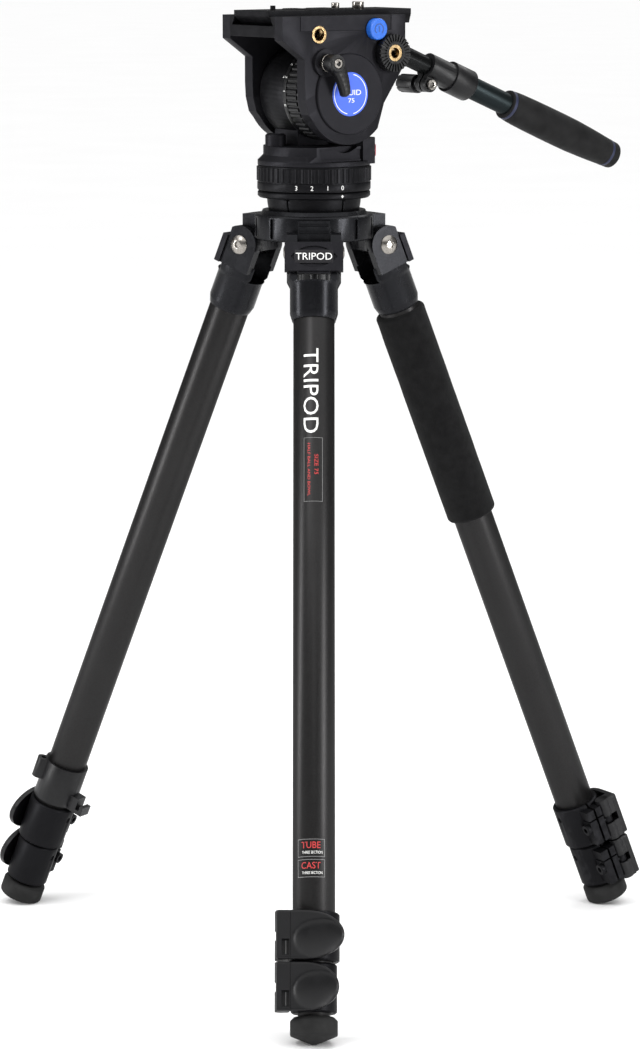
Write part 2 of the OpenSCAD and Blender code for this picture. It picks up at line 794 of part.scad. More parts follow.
// Split clamp and collar at the mouth of the handle's tube, with its cross bolt.
module handle_clamp() {
    color(CASTING) on_handle() difference() {
        union() {
            cylinder_at(clamp_s, clamp_s + 29, 11.2);
            cylinder_at(collar_s, collar_s + 22, 13.25);
            translate([0, 0, collar_s + 22]) cylinder(h = 2, r1 = 13.25, r2 = 11);
            span([-clamp_drop, -6.6, clamp_s], [0, 6.6, clamp_s + 12]);
            along_y(-clamp_drop, clamp_bolt_s, -6.6, 6.6, 6.4);
        }
        cylinder_at(0, 100, handle_rod_r + run);
        cylinder_at(collar_s + 4, 100, 9.35 + run);
        span([-30, -0.8, clamp_s - 5], [0, 0.8, clamp_s + 16]);
        along_y(-clamp_drop, clamp_bolt_s, -20, 20, 2.6);
    }
    color(STEEL) on_handle() difference() {
        union() {
            along_y(-clamp_drop, clamp_bolt_s, -18, 7, 2.5);
            along_y(-clamp_drop, clamp_bolt_s, 6.7, 9.2, 4.2);
        }
        along_y(-clamp_drop, clamp_bolt_s, 8, 10, 2.2, 6);
    }
}

// Thumb knob of the handle's clamp.
module handle_clamp_knob() {
    color(CASTING) on_handle() difference() {
        union() {
            along_y(-clamp_drop, clamp_bolt_s, -10.5, -6.9, 5);
            along_y(-clamp_drop, clamp_bolt_s, -31, -10.4, 7.75);
        }
        along_y(-clamp_drop, clamp_bolt_s, -18.4, 0, 2.5 + run);
        for (a = [0:45:315]) translate([-clamp_drop, -32, clamp_bolt_s]) rotate([0, a, 0])
            span([7.1, 0, -0.6], [9, 19, 0.6]);
    }
}

// Outer tube of the handle, which slides on the rod.
module handle_tube() {
    color(SATIN) on_handle() difference() {
        cylinder_at(collar_s + 4.2, grip_s + grip_len - 6, 9.35);
        cylinder_at(0, 300, handle_rod_r + 0.35);
    }
}

// Rubber grip with a band at each end.
module handle_grip() {
    s = grip_s;
    e = grip_s + grip_len;
    color(SOFT) on_handle() difference() {
        rotate_extrude() polygon([[0, s], [12.3, s], [12.85, s + 1], [13.6, s + 14], [14.15, s + 45],
            [14.1, s + 78], [12.6, e - 22], [11.6, e - 6], [11.4, e - 2], [9.6, e], [0, e]]);
        cylinder_at(s - over, e - 5.8, 9.35);
    }
}

// ---------- parts ----------

for (i = [0:2]) {
    leg = LEGS[i];
    a = LEG_AZIMUTH[i];
    yoke(a);
    angle_latch(a);
    leg_tube(a, upper_start, upper_end, upper_d);
    clamp(a, lock_top[0], upper_lock_r, upper_d, middle_d, upper_end);
    flip_lever(a, lock_top[0], upper_lock_r, 23);
    leg_tube(a, middle_start, middle_end, middle_d);
    clamp(a, lock_top[1], lower_lock_r, middle_d, lower_d, middle_end);
    flip_lever(a, lock_top[1], lower_lock_r, 19);
    leg_tube(a, lower_start, foot_top + 9, lower_d);
    foot(a);
}
crown();
hinge_bolts();
foam_grip();
transport_catch();
half_ball();
tie_down_washer();
tie_down_knob();
pan_drag_ring();
pan_housing();
pan_lock_button();
bubble_level();
tilt_cartridge();
tilt_shaft();
tilt_drag_dial();
left_cheek();
right_cheek();
badge_disc();
platform();
tilt_lock_lever();
threaded_inserts();
rosettes();
plate_release_button();
quick_plate();
camera_screw(small_screw_x, small_thread_r, 5);  // camera_screw_small
camera_screw(large_screw_x, large_thread_r, 5.5);  // camera_screw_large
handle_arm();
handle_clamp();
handle_clamp_knob();
handle_tube();
handle_grip();
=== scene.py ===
"""Studio scene of a folding video tripod with a fluid head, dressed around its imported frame.

Every length is in metres. The tripod stands on the floor at z = 0 with its axis on the origin.
Legs are described in their own frame (u outward, v sideways, d down the leg) and the head in its own
(x the way the lens looks, y the operator's left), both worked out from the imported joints.
"""
import json
import logging
import math
from dataclasses import dataclass, field
from enum import Enum
from typing import Callable, Sequence

import bmesh
import bpy
from mathutils import Matrix, Vector, noise


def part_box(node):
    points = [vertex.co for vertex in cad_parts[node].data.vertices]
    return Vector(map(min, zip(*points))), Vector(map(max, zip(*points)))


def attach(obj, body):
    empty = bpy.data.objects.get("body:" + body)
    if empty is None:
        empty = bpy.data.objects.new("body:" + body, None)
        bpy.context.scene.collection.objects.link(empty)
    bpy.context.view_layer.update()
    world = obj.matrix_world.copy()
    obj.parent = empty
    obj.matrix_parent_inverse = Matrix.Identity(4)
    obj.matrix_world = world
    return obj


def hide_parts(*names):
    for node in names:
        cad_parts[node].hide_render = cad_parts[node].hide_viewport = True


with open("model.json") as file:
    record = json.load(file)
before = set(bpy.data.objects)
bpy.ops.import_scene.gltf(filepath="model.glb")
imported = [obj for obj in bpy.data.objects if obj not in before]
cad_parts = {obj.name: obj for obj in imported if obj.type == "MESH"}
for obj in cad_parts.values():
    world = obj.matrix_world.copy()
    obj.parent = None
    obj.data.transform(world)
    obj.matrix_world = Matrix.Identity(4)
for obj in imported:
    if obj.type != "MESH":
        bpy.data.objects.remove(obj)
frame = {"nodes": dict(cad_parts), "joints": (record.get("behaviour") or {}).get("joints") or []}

LOG = logging.getLogger("tripod")
MM = 0.001

Point = tuple[float, float, float]
Colour = tuple[float, float, float]
Profile = Sequence[tuple[float, float]]


# ---------------------------------------------------------------- node graphs


class Graph:
    """A material's node tree, with short calls for the nodes that the finishes share."""

    def __init__(self, name: str) -> None:
        """Starts a material with one principled shader.

        Args:
            name: the material's name.
        """
        self.material = bpy.data.materials.new(name)
        self.material.use_nodes = True
        self.tree = self.material.node_tree
        self.shader = self.tree.nodes["Principled BSDF"]
        self._place: bpy.types.NodeSocket | None = None

    def node(self, kind: str, **settings: object) -> bpy.types.Node:
        """Adds a node and sets its properties.

        Args:
            kind: the node's type, without the ShaderNode prefix.
            settings: property values by name.

        Returns:
            The new node.
        """
        made = self.tree.nodes.new("ShaderNode" + kind)
        for key, value in settings.items():
            setattr(made, key, value)
        return made

    def join(self, source: bpy.types.NodeSocket, target: bpy.types.NodeSocket) -> None:
        """Links one socket to another."""
        self.tree.links.new(source, target)

    def place(self) -> bpy.types.NodeSocket:
        """Returns the object coordinates, which patterns are measured in."""
        if self._place is None:
            self._place = self.node("TexCoord").outputs["Object"]
        return self._place

    def noise(self, scale: float, detail: float = 3.0, stretch: Point | None = None) -> bpy.types.NodeSocket:
        """Adds noise of a given fineness.

        Args:
            scale: waves in a metre.
            detail: octaves.
            stretch: scale along each axis, for a grain with a direction.

        Returns:
            The noise value.
        """
        made = self.node("TexNoise")
        made.inputs["Scale"].default_value = scale
        made.inputs["Detail"].default_value = detail
        where = self.place()
        if stretch is not None:
            mapping = self.node("Mapping")
            mapping.inputs["Scale"].default_value = stretch
            self.join(where, mapping.inputs["Vector"])
            where = mapping.outputs["Vector"]
        self.join(where, made.inputs["Vector"])
        return made.outputs["Fac"]

    def cells(self, scale: float) -> bpy.types.NodeSocket:
        """Adds a cell pattern and returns its distance value."""
        made = self.node("TexVoronoi")
        made.inputs["Scale"].default_value = scale
        self.join(self.place(), made.inputs["Vector"])
        return made.outputs["Distance"]

    def spread(self, value: bpy.types.NodeSocket, low: float, high: float,
               at: tuple[float, float] = (0.3, 0.7)) -> bpy.types.NodeSocket:
        """Maps a value onto a range.

        Args:
            value: the value to map.
            low: result where the value is at[0] or less.
            high: result where the value is at[1] or more.
            at: the span of the value that counts.

        Returns:
            The mapped value.
        """
        made = self.node("MapRange")
        self.join(value, made.inputs["Value"])
        made.inputs["From Min"].default_value = at[0]
        made.inputs["From Max"].default_value = at[1]
        made.inputs["To Min"].default_value = low
        made.inputs["To Max"].default_value = high
        return made.outputs["Result"]

    def blend(self, amount: bpy.types.NodeSocket, first: Colour | bpy.types.NodeSocket,
              second: Colour) -> bpy.types.NodeSocket:
        """Mixes two colours.

        Args:
            amount: 0 for the first colour, 1 for the second.
            first: a colour, or the result of an earlier blend.
            second: the other colour.

        Returns:
            The mixed colour.
        """
        made = self.node("Mix", data_type="RGBA")
        self.join(amount, made.inputs["Factor"])
        first_colour, second_colour, mixed = 6, 7, 2  # the sockets that a colour mix uses
        if isinstance(first, tuple):
            made.inputs[first_colour].default_value = (*first, 1.0)
        else:
            self.join(first, made.inputs[first_colour])
        made.inputs[second_colour].default_value = (*second, 1.0)
        return made.outputs[mixed]

    def edges(self, low: float = 0.52, high: float = 0.6) -> bpy.types.NodeSocket:
        """Returns a value that is 1 on convex edges, where a finish wears first."""
        geometry = self.node("NewGeometry")
        return self.spread(geometry.outputs["Pointiness"], 0.0, 1.0, (low, high))

    def product(self, first: bpy.types.NodeSocket, second: bpy.types.NodeSocket) -> bpy.types.NodeSocket:
        """Returns one value times another."""
        made = self.node("Math", operation="MULTIPLY")
        self.join(first, made.inputs[0])
        self.join(second, made.inputs[1])
        return made.outputs[0]

    def bump(self, *layers: tuple[bpy.types.NodeSocket, float, float]) -> None:
        """Stacks bump layers on the shader's normal.

        Args:
            layers: each layer's height, its strength and its depth in metres.
        """
        normal = None
        for height, strength, depth in layers:
            made = self.node("Bump")
            made.inputs["Strength"].default_value = strength
            made.inputs["Distance"].default_value = depth
            self.join(height, made.inputs["Height"])
            if normal is not None:
                self.join(normal, made.inputs["Normal"])
            normal = made.outputs["Normal"]
        self.join(normal, self.shader.inputs["Normal"])


# ---------------------------------------------------------------- finishes


@dataclass(frozen=True)
class Finish:
    """A surface finish; each kind builds its own node material once."""

    name: str
    colour: Colour
    shine: float = 0.5
    glance: float = 1.0

    def build(self, graph: Graph) -> None:
        """Wires the material's nodes; each kind of finish does this its own way."""
        raise NotImplementedError

    def material(self) -> bpy.types.Material:
        """Returns this finish's material, made the first time it is asked for."""
        made = bpy.data.materials.get(self.name)
        if made is None:
            graph = Graph(self.name)
            graph.shader.inputs["Specular IOR Level"].default_value = self.shine
            graph.shader.inputs["Specular Tint"].default_value = (self.glance, self.glance, self.glance, 1.0)
            self.build(graph)
            made = graph.material
        return made


@dataclass(frozen=True)
class CastEnamel(Finish):
    """Satin stove enamel over a die casting: faint orange peel, dust and rubbed edges."""

    roughness: float = 0.42
    worn: Colour = (0.03, 0.03, 0.033)
    wear: float = 0.35
    peel: float = 0.12
    metal: float = 0.6

    def build(self, graph: Graph) -> None:
        """Wires mottled colour, uneven gloss, rubbed edges and orange peel."""
        graph.shader.inputs["Metallic"].default_value = self.metal
        mottle = graph.spread(graph.noise(45.0, 4.0), 0.0, 1.0)
        pale = tuple(c * 1.15 + 0.0006 for c in self.colour)
        base = graph.blend(mottle, self.colour, pale)
        rub = graph.product(graph.edges(),
                            graph.spread(graph.noise(160.0, 4.0), 0.0, self.wear, (0.42, 0.62)))
        graph.join(graph.blend(rub, base, self.worn), graph.shader.inputs["Base Color"])
        gloss = graph.spread(graph.noise(90.0, 5.0), self.roughness - 0.025, self.roughness + 0.035)
        graph.join(gloss, graph.shader.inputs["Roughness"])
        graph.bump((graph.noise(2600.0, 2.0), self.peel, 0.00012), (graph.noise(700.0, 2.0), 0.05, 0.0002))


@dataclass(frozen=True)
class MouldedNylon(Finish):
    """Glass-filled nylon with a spark-eroded grain, and handled edges painted paler for rubbing wear and a
    painted sheen.
    """

    roughness: float = 0.5
    grain: float = 1500.0

    def build(self, graph: Graph) -> None:
        """Wires fine grain, cloudy gloss, and handled edges painted paler for rubbing wear and a painted
        sheen.
        """
        cloud = graph.spread(graph.noise(60.0, 3.0), 0.0, 1.0)
        base = graph.blend(cloud, self.colour, tuple(c * 1.3 + 0.0006 for c in self.colour))
        # Convex edges painted paler: partly rubbing wear, partly a painted sheen.
        rub = graph.product(graph.edges(), graph.spread(graph.noise(220.0), 0.0, 0.3))
        graph.join(graph.blend(rub, base, (0.025, 0.025, 0.027)), graph.shader.inputs["Base Color"])
        gloss = graph.spread(graph.noise(110.0, 4.0), self.roughness - 0.05, self.roughness + 0.1)
        graph.join(gloss, graph.shader.inputs["Roughness"])
        graph.bump((graph.noise(self.grain, 3.0), 0.22, 0.00012))


@dataclass(frozen=True)
class AnodisedTube(Finish):
    """Dark grey tube with a fine lengthwise draw grain under a matt anodised skin."""

    roughness: float = 0.4
    along: Point = (1.0, 1.0, 1.0)
    metal: float = 0.75

    def build(self, graph: Graph) -> None:
        """Wires the draw grain, its gloss and a little handling dust."""
        graph.shader.inputs["Metallic"].default_value = self.metal
        streak = graph.noise(900.0, 3.0, self.along)
        dust = graph.spread(graph.noise(30.0, 4.0), 0.0, 0.5)
        base = graph.blend(graph.spread(streak, 0.0, 1.0), self.colour, tuple(c * 1.3 for c in self.colour))
        graph.join(graph.blend(dust, base, tuple(c * 1.2 + 0.003 for c in self.colour)),
                   graph.shader.inputs["Base Color"])
        graph.join(graph.spread(streak, self.roughness - 0.05, self.roughness + 0.07),
                   graph.shader.inputs["Roughness"])
        graph.bump((streak, 0.08, 0.00005), (graph.noise(1800.0, 2.0), 0.06, 0.0001))


@dataclass(frozen=True)
class TurnedMetal(Finish):
    """Bright machined metal with fine tool marks and faint tarnish."""

    roughness: float = 0.22
    tarnish: Colour = (0.3, 0.27, 0.22)

    def build(self, graph: Graph) -> None:
        """Wires a metal shader with tool marks and tarnish in patches."""
        graph.shader.inputs["Metallic"].default_value = 1.0
        patch = graph.spread(graph.noise(260.0, 5.0), 0.0, 0.4, (0.5, 0.75))
        graph.join(graph.blend(patch, self.colour, self.tarnish), graph.shader.inputs["Base Color"])
        graph.join(graph.spread(graph.noise(500.0, 4.0), self.roughness - 0.06, self.roughness + 0.14),
                   graph.shader.inputs["Roughness"])
        graph.bump((graph.noise(3000.0, 2.0), 0.08, 0.00005))


@dataclass(frozen=True)
class SoftRubber(Finish):
    """Matt moulded rubber, a little dusty, with a fine skin."""

    roughness: float = 0.72
    grain: float = 1100.0

    def build(self, graph: Graph) -> None:
        """Wires dusty colour, low gloss and a fine pebbled skin."""
        dust = graph.spread(graph.noise(70.0, 5.0), 0.0, 1.0)
        graph.join(graph.blend(dust, self.colour, tuple(c * 1.5 + 0.004 for c in self.colour)),
                   graph.shader.inputs["Base Color"])
        graph.join(graph.spread(graph.noise(150.0), self.roughness - 0.06, self.roughness + 0.08),
                   graph.shader.inputs["Roughness"])
        graph.bump((graph.cells(self.grain), 0.15, 0.0001), (graph.noise(500.0), 0.1, 0.0002))


@dataclass(frozen=True)
class ClosedFoam(Finish):
    """Closed-cell foam: small pits all over and a soft sheen."""

    cell: float = 1500.0

    def build(self, graph: Graph) -> None:
        """Wires pitted bump and a fuzzy, uneven black."""
        graph.shader.inputs["Sheen Weight"].default_value = 0.03
        graph.shader.inputs["Sheen Roughness"].default_value = 0.6
        uneven = graph.spread(graph.noise(120.0, 5.0), 0.0, 1.0)
        graph.join(graph.blend(uneven, self.colour, tuple(c * 1.5 + 0.0015 for c in self.colour)),
                   graph.shader.inputs["Base Color"])
        graph.join(graph.spread(graph.noise(300.0), 0.78, 0.92), graph.shader.inputs["Roughness"])
        graph.bump((graph.cells(self.cell), 0.4, 0.0003), (graph.noise(260.0, 4.0), 0.2, 0.0004))


@dataclass(frozen=True)
class GlossPlastic(Finish):
    """Coloured moulded plastic with a clear gloss, scuffed a little where it is touched."""

    roughness: float = 0.22

    def build(self, graph: Graph) -> None:
        """Wires a coated colour with faint flow marks and scuffs."""
        graph.shader.inputs["Coat Weight"].default_value = 0.3
        graph.shader.inputs["Coat Roughness"].default_value = 0.12
        flow = graph.spread(graph.noise(80.0, 3.0), 0.0, 1.0)
        graph.join(graph.blend(flow, self.colour, tuple(min(c * 1.25, 1.0) for c in self.colour)),
                   graph.shader.inputs["Base Color"])
        graph.join(graph.spread(graph.noise(300.0, 4.0), self.roughness, self.roughness + 0.15),
                   graph.shader.inputs["Roughness"])
        graph.bump((graph.noise(900.0), 0.05, 0.0001))


@dataclass(frozen=True)
class PrintedInk(Finish):
    """Screen-printed ink: flat, slightly thick, a little uneven in cover."""

    roughness: float = 0.45

    def build(self, graph: Graph) -> None:
        """Wires ink whose cover and gloss vary a little."""
        cover = graph.spread(graph.noise(900.0, 3.0), 0.0, 0.35)
        graph.join(graph.blend(cover, self.colour, tuple(c * 0.82 for c in self.colour)),
                   graph.shader.inputs["Base Color"])
        graph.join(graph.spread(graph.noise(400.0), self.roughness - 0.05, self.roughness + 0.1),
                   graph.shader.inputs["Roughness"])
        graph.bump((graph.noise(2000.0), 0.06, 0.00005))


@dataclass(frozen=True)
class SpiritCapsule(Finish):
    """Clear capsule of tinted spirit."""

    def build(self, graph: Graph) -> None:
        """Wires a tinted, glossy, partly clear shader."""
        graph.shader.inputs["Transmission Weight"].default_value = 0.5
        graph.shader.inputs["IOR"].default_value = 1.45
        tint = graph.spread(graph.noise(200.0), 0.0, 1.0)
        graph.join(graph.blend(tint, self.colour, tuple(min(c * 1.2, 1.0) for c in self.colour)),
                   graph.shader.inputs["Base Color"])
        graph.join(graph.spread(graph.noise(300.0), 0.05, 0.12), graph.shader.inputs["Roughness"])
        graph.bump((graph.noise(600.0), 0.02, 0.0001))


@dataclass(frozen=True)
class StudioPaper(Finish):
    """Seamless white studio paper."""

    def build(self, graph: Graph) -> None:
        """Wires a matt white with a barely visible tooth."""
        tooth = graph.spread(graph.noise(3.0, 2.0), 0.0, 1.0)
        graph.join(graph.blend(tooth, self.colour, tuple(c * 0.985 for c in self.colour)),
                   graph.shader.inputs["Base Color"])
        graph.shader.inputs["Roughness"].default_value = 0.9


CASTING = CastEnamel("cast_enamel", (0.0075, 0.0075, 0.0085), shine=0.16, glance=0.5)
CASTING_PALE = CastEnamel("cast_enamel_pale", (0.0125, 0.0123, 0.0145), shine=0.16, glance=0.5,
                          roughness=0.45)
GLOSS_CASTING = CastEnamel("cast_enamel_gloss", (0.0105, 0.0108, 0.0125), shine=0.3, glance=0.5,
                           roughness=0.27)
NYLON = MouldedNylon("moulded_nylon", (0.0019, 0.0019, 0.0024), shine=0.26, roughness=0.38)
TUBE = AnodisedTube("anodised_tube", (0.0215, 0.021, 0.0212), shine=0.2, glance=0.45, roughness=0.36)
ROD = AnodisedTube("handle_rod_black", (0.0075, 0.008, 0.0082), shine=0.3, glance=0.5, roughness=0.3)
SLEEVE = AnodisedTube("handle_sleeve_black", (0.009, 0.0125, 0.0135), shine=0.3, glance=0.5, roughness=0.34)
STEEL = TurnedMetal("machined_steel", (0.3, 0.283, 0.26), tarnish=(0.12, 0.105, 0.09))
PIN = TurnedMetal("blued_pin", (0.12, 0.12, 0.12), tarnish=(0.05, 0.05, 0.05), roughness=0.35)
BRASS = TurnedMetal("turned_brass", (0.58, 0.41, 0.21), tarnish=(0.33, 0.21, 0.09))
RUBBER = SoftRubber("moulded_rubber", (0.0095, 0.0095, 0.0095), shine=0.16)
GRIP_RUBBER = SoftRubber("grip_rubber", (0.005, 0.005, 0.0052), shine=0.12, roughness=0.66)
FOAM = ClosedFoam("closed_foam", (0.004, 0.004, 0.0042), shine=0.06)
PLATE_GREY = CastEnamel("plate_grey", (0.022, 0.0215, 0.0235), shine=0.2, glance=0.5, roughness=0.5)
BADGE_BLUE = PrintedInk("badge_blue", (0.011, 0.03, 0.207), shine=0.05, roughness=0.4)
BUTTON_BLUE = GlossPlastic("button_blue", (0.006, 0.036, 0.16), shine=0.2)
BUTTON_MARK = PrintedInk("button_mark", (0.03, 0.07, 0.22), shine=0.2)
LOCK_RED = GlossPlastic("lock_red", (0.24, 0.01, 0.02), shine=0.3)
WHITE_INK = PrintedInk("white_ink", (0.8, 0.8, 0.78))
GREY_INK = PrintedInk("grey_ink", (0.16, 0.16, 0.16))
RED_INK = PrintedInk("red_ink", (0.5, 0.03, 0.03))
BAND_BLUE = SoftRubber("band_blue", (0.006, 0.009, 0.03), shine=0.3, roughness=0.5)
CAPSULE = SpiritCapsule("spirit_capsule", (0.55, 0.7, 0.12))
PAPER = StudioPaper("studio_paper", (0.93, 0.93, 0.93))

NODE_FINISH: dict[str, Finish] = {
    "yoke": GLOSS_CASTING, "angle_latch": CASTING_PALE, "upper_tube": TUBE, "middle_tube": TUBE,
    "lower_tube": TUBE, "upper_clamp": CASTING, "lower_clamp": CASTING, "upper_lever": NYLON,
    "lower_lever": NYLON, "foot": RUBBER, "crown": GLOSS_CASTING, "hinge_bolts": STEEL,
    "foam_grip": FOAM, "transport_catch": NYLON, "half_ball": CASTING, "tie_down_washer": CASTING,
    "tie_down_knob": NYLON, "pan_drag_ring": CASTING, "pan_housing": CASTING_PALE,
    "pan_lock_button": LOCK_RED, "bubble_level": CAPSULE, "tilt_cartridge": CASTING,
    "tilt_shaft": STEEL, "tilt_drag_dial": NYLON, "left_cheek": CASTING_PALE,
    "right_cheek": CASTING_PALE, "badge_disc": BADGE_BLUE, "platform": CASTING,
    "tilt_lock_lever": NYLON, "threaded_inserts": BRASS, "rosettes": NYLON,
    "plate_release_button": BUTTON_BLUE, "quick_plate": CASTING, "camera_screw_small": STEEL,
    "camera_screw_large": STEEL, "handle_arm": ROD, "handle_clamp": NYLON, "handle_clamp_knob": NYLON,
    "handle_tube": SLEEVE, "handle_grip": GRIP_RUBBER,
}


# ---------------------------------------------------------------- frames of reference


def joint(name: str) -> dict:
    """Returns a packed joint by its name."""
    return next(j for j in frame["joints"] if j["name"] == name)


class Side(Enum):
    """The three legs."""

    FRONT = "front"
    RIGHT = "right"
    LEFT = "left"


@dataclass(frozen=True)
class LegAxes:
    """A leg's own frame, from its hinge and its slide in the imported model."""

    side: Side

    def matrix(self) -> Matrix:
        """Returns the matrix from (u outward, v sideways, d down the leg) to the model's frame."""
        hinge = joint(f"{self.side.value}_leg_hinge")
        down = Vector(joint(f"{self.side.value}_middle_slide")["axis"]).normalized()
        sideways = -Vector(hinge["axis"]).normalized()
        outward = sideways.cross(-down).normalized()
        turn = Matrix((outward, sideways, down)).transposed().to_4x4()
        return Matrix.Translation(hinge["pos_m"]) @ turn


def head_matrix() -> Matrix:
    """Returns the matrix from the head's frame (x forward, y the operator's left) to the model's frame."""
    left = Vector(joint("tilt")["axis"])
    return Matrix.Rotation(math.atan2(-left.x, left.y), 4, "Z")


# ---------------------------------------------------------------- drawing meshes


@dataclass
class Sketch:
    """A mesh drawn in millimetres in a local frame, then placed in the model's frame."""

    name: str
    place: Matrix
    points: list[Vector] = field(default_factory=list)
    faces: list[tuple[int, ...]] = field(default_factory=list)
    slots: list[int] = field(default_factory=list)
    finishes: list[Finish] = field(default_factory=list)

    def finish_index(self, finish: Finish) -> int:
        """Returns the finish's place in this piece's list, adding it if it is new."""
        if finish not in self.finishes:
            self.finishes.append(finish)
        return self.finishes.index(finish)

    def skin(self, rows: Sequence[Sequence[Point]], finish: Finish, closed: bool = True,
             caps: tuple[bool, bool] = (False, False)) -> None:
        """Stretches faces over rows of points.

        Args:
            rows: rows with the same number of points.
            finish: the faces' finish.
            closed: whether each row is a loop.
            caps: whether the first and the last row are filled in.
        """
        start = len(self.points)
        count = len(rows[0])
        slot = self.finish_index(finish)
        for row in rows:
            self.points.extend(Vector(p) for p in row)
        spans = count if closed else count - 1
        for r in range(len(rows) - 1):
            for c in range(spans):
                a, b = start + r * count + c, start + r * count + (c + 1) % count
                self.faces.append((a, b, b + count, a + count))
                self.slots.append(slot)
        ends = ((caps[0], start, True), (caps[1], start + (len(rows) - 1) * count, False))
        for wanted, first, turned in ends:
            if wanted:
                loop = tuple(range(first, first + count))
                self.faces.append(tuple(reversed(loop)) if turned else loop)
                self.slots.append(slot)

    def lathe(self, profile: Profile, finish: Finish, steps: int = 72,
              shape: Callable[[float, float], float] | None = None) -> None:
        """Turns a profile about the local Z axis.

        Args:
            profile: points of radius and height; the ends are filled in.
            finish: the faces' finish.
            steps: facets round the axis.
            shape: a change in radius at an angle and a height.
        """
        rows = []
        for radius, height in profile:
            row = []
            for i in range(steps):
                angle = 2 * math.pi * i / steps
                r = radius + (shape(angle, height) if shape else 0.0)
                row.append((r * math.cos(angle), r * math.sin(angle), height))
            rows.append(row)
        self.skin(rows, finish, caps=(True, True))

    def block(self, low: Point, high: Point, finish: Finish) -> None:
        """Adds a box given by its lowest and highest corners."""
        rows = [[(low[0], low[1], z), (high[0], low[1], z), (high[0], high[1], z), (low[0], high[1], z)]
                for z in (low[2], high[2])]
        self.skin(rows, finish, caps=(True, True))

    def build(self, smooth_below: float = 35.0, bevel: float = 0.0) -> bpy.types.Object:
        """Makes the object.

        Args:
            smooth_below: edges with a smaller angle than this are shaded smooth, in degrees.
            bevel: width of the rounding on sharp edges, in millimetres.

        Returns:
            The placed object.
        """
        mesh = bpy.data.meshes.new(self.name)
        mesh.from_pydata([self.place @ (p * MM) for p in self.points], [], self.faces)
        for finish in self.finishes:
            mesh.materials.append(finish.material())
        for polygon, slot in zip(mesh.polygons, self.slots):
            polygon.material_index = slot
        shell = bmesh.new()
        shell.from_mesh(mesh)
        bmesh.ops.remove_doubles(shell, verts=shell.verts, dist=0.000004)
        bmesh.ops.recalc_face_normals(shell, faces=shell.faces)
        shell.to_mesh(mesh)
        shell.free()
        mesh.shade_smooth()
        mesh.set_sharp_from_angle(angle=math.radians(smooth_below))
        made = bpy.data.objects.new(self.name, mesh)
        bpy.context.scene.collection.objects.link(made)
        if bevel > 0:
            edge = made.modifiers.new("edge", "BEVEL")
            edge.width = bevel * MM
            edge.segments = 2
            edge.limit_method = "ANGLE"
            edge.angle_limit = math.radians(35)
            edge.harden_normals = True
        return made


def ring(radius: float, height: float, steps: int) -> list[Point]:
    """Returns a circle of points round the local Z axis."""
    return [(radius * math.cos(a), radius * math.sin(a), height)
            for a in (2 * math.pi * i / steps for i in range(steps))]


def turned_about(matrix: Matrix, x: float, y: float, z: float, axis: str = "Z",
                 degrees: float = 0.0) -> Matrix:
    """Returns a local frame moved to a point in millimetres and then turned about one of its axes."""
    turn = Matrix.Rotation(math.radians(degrees), 4, axis)
    return matrix @ Matrix.Translation(Vector((x, y, z)) * MM) @ turn


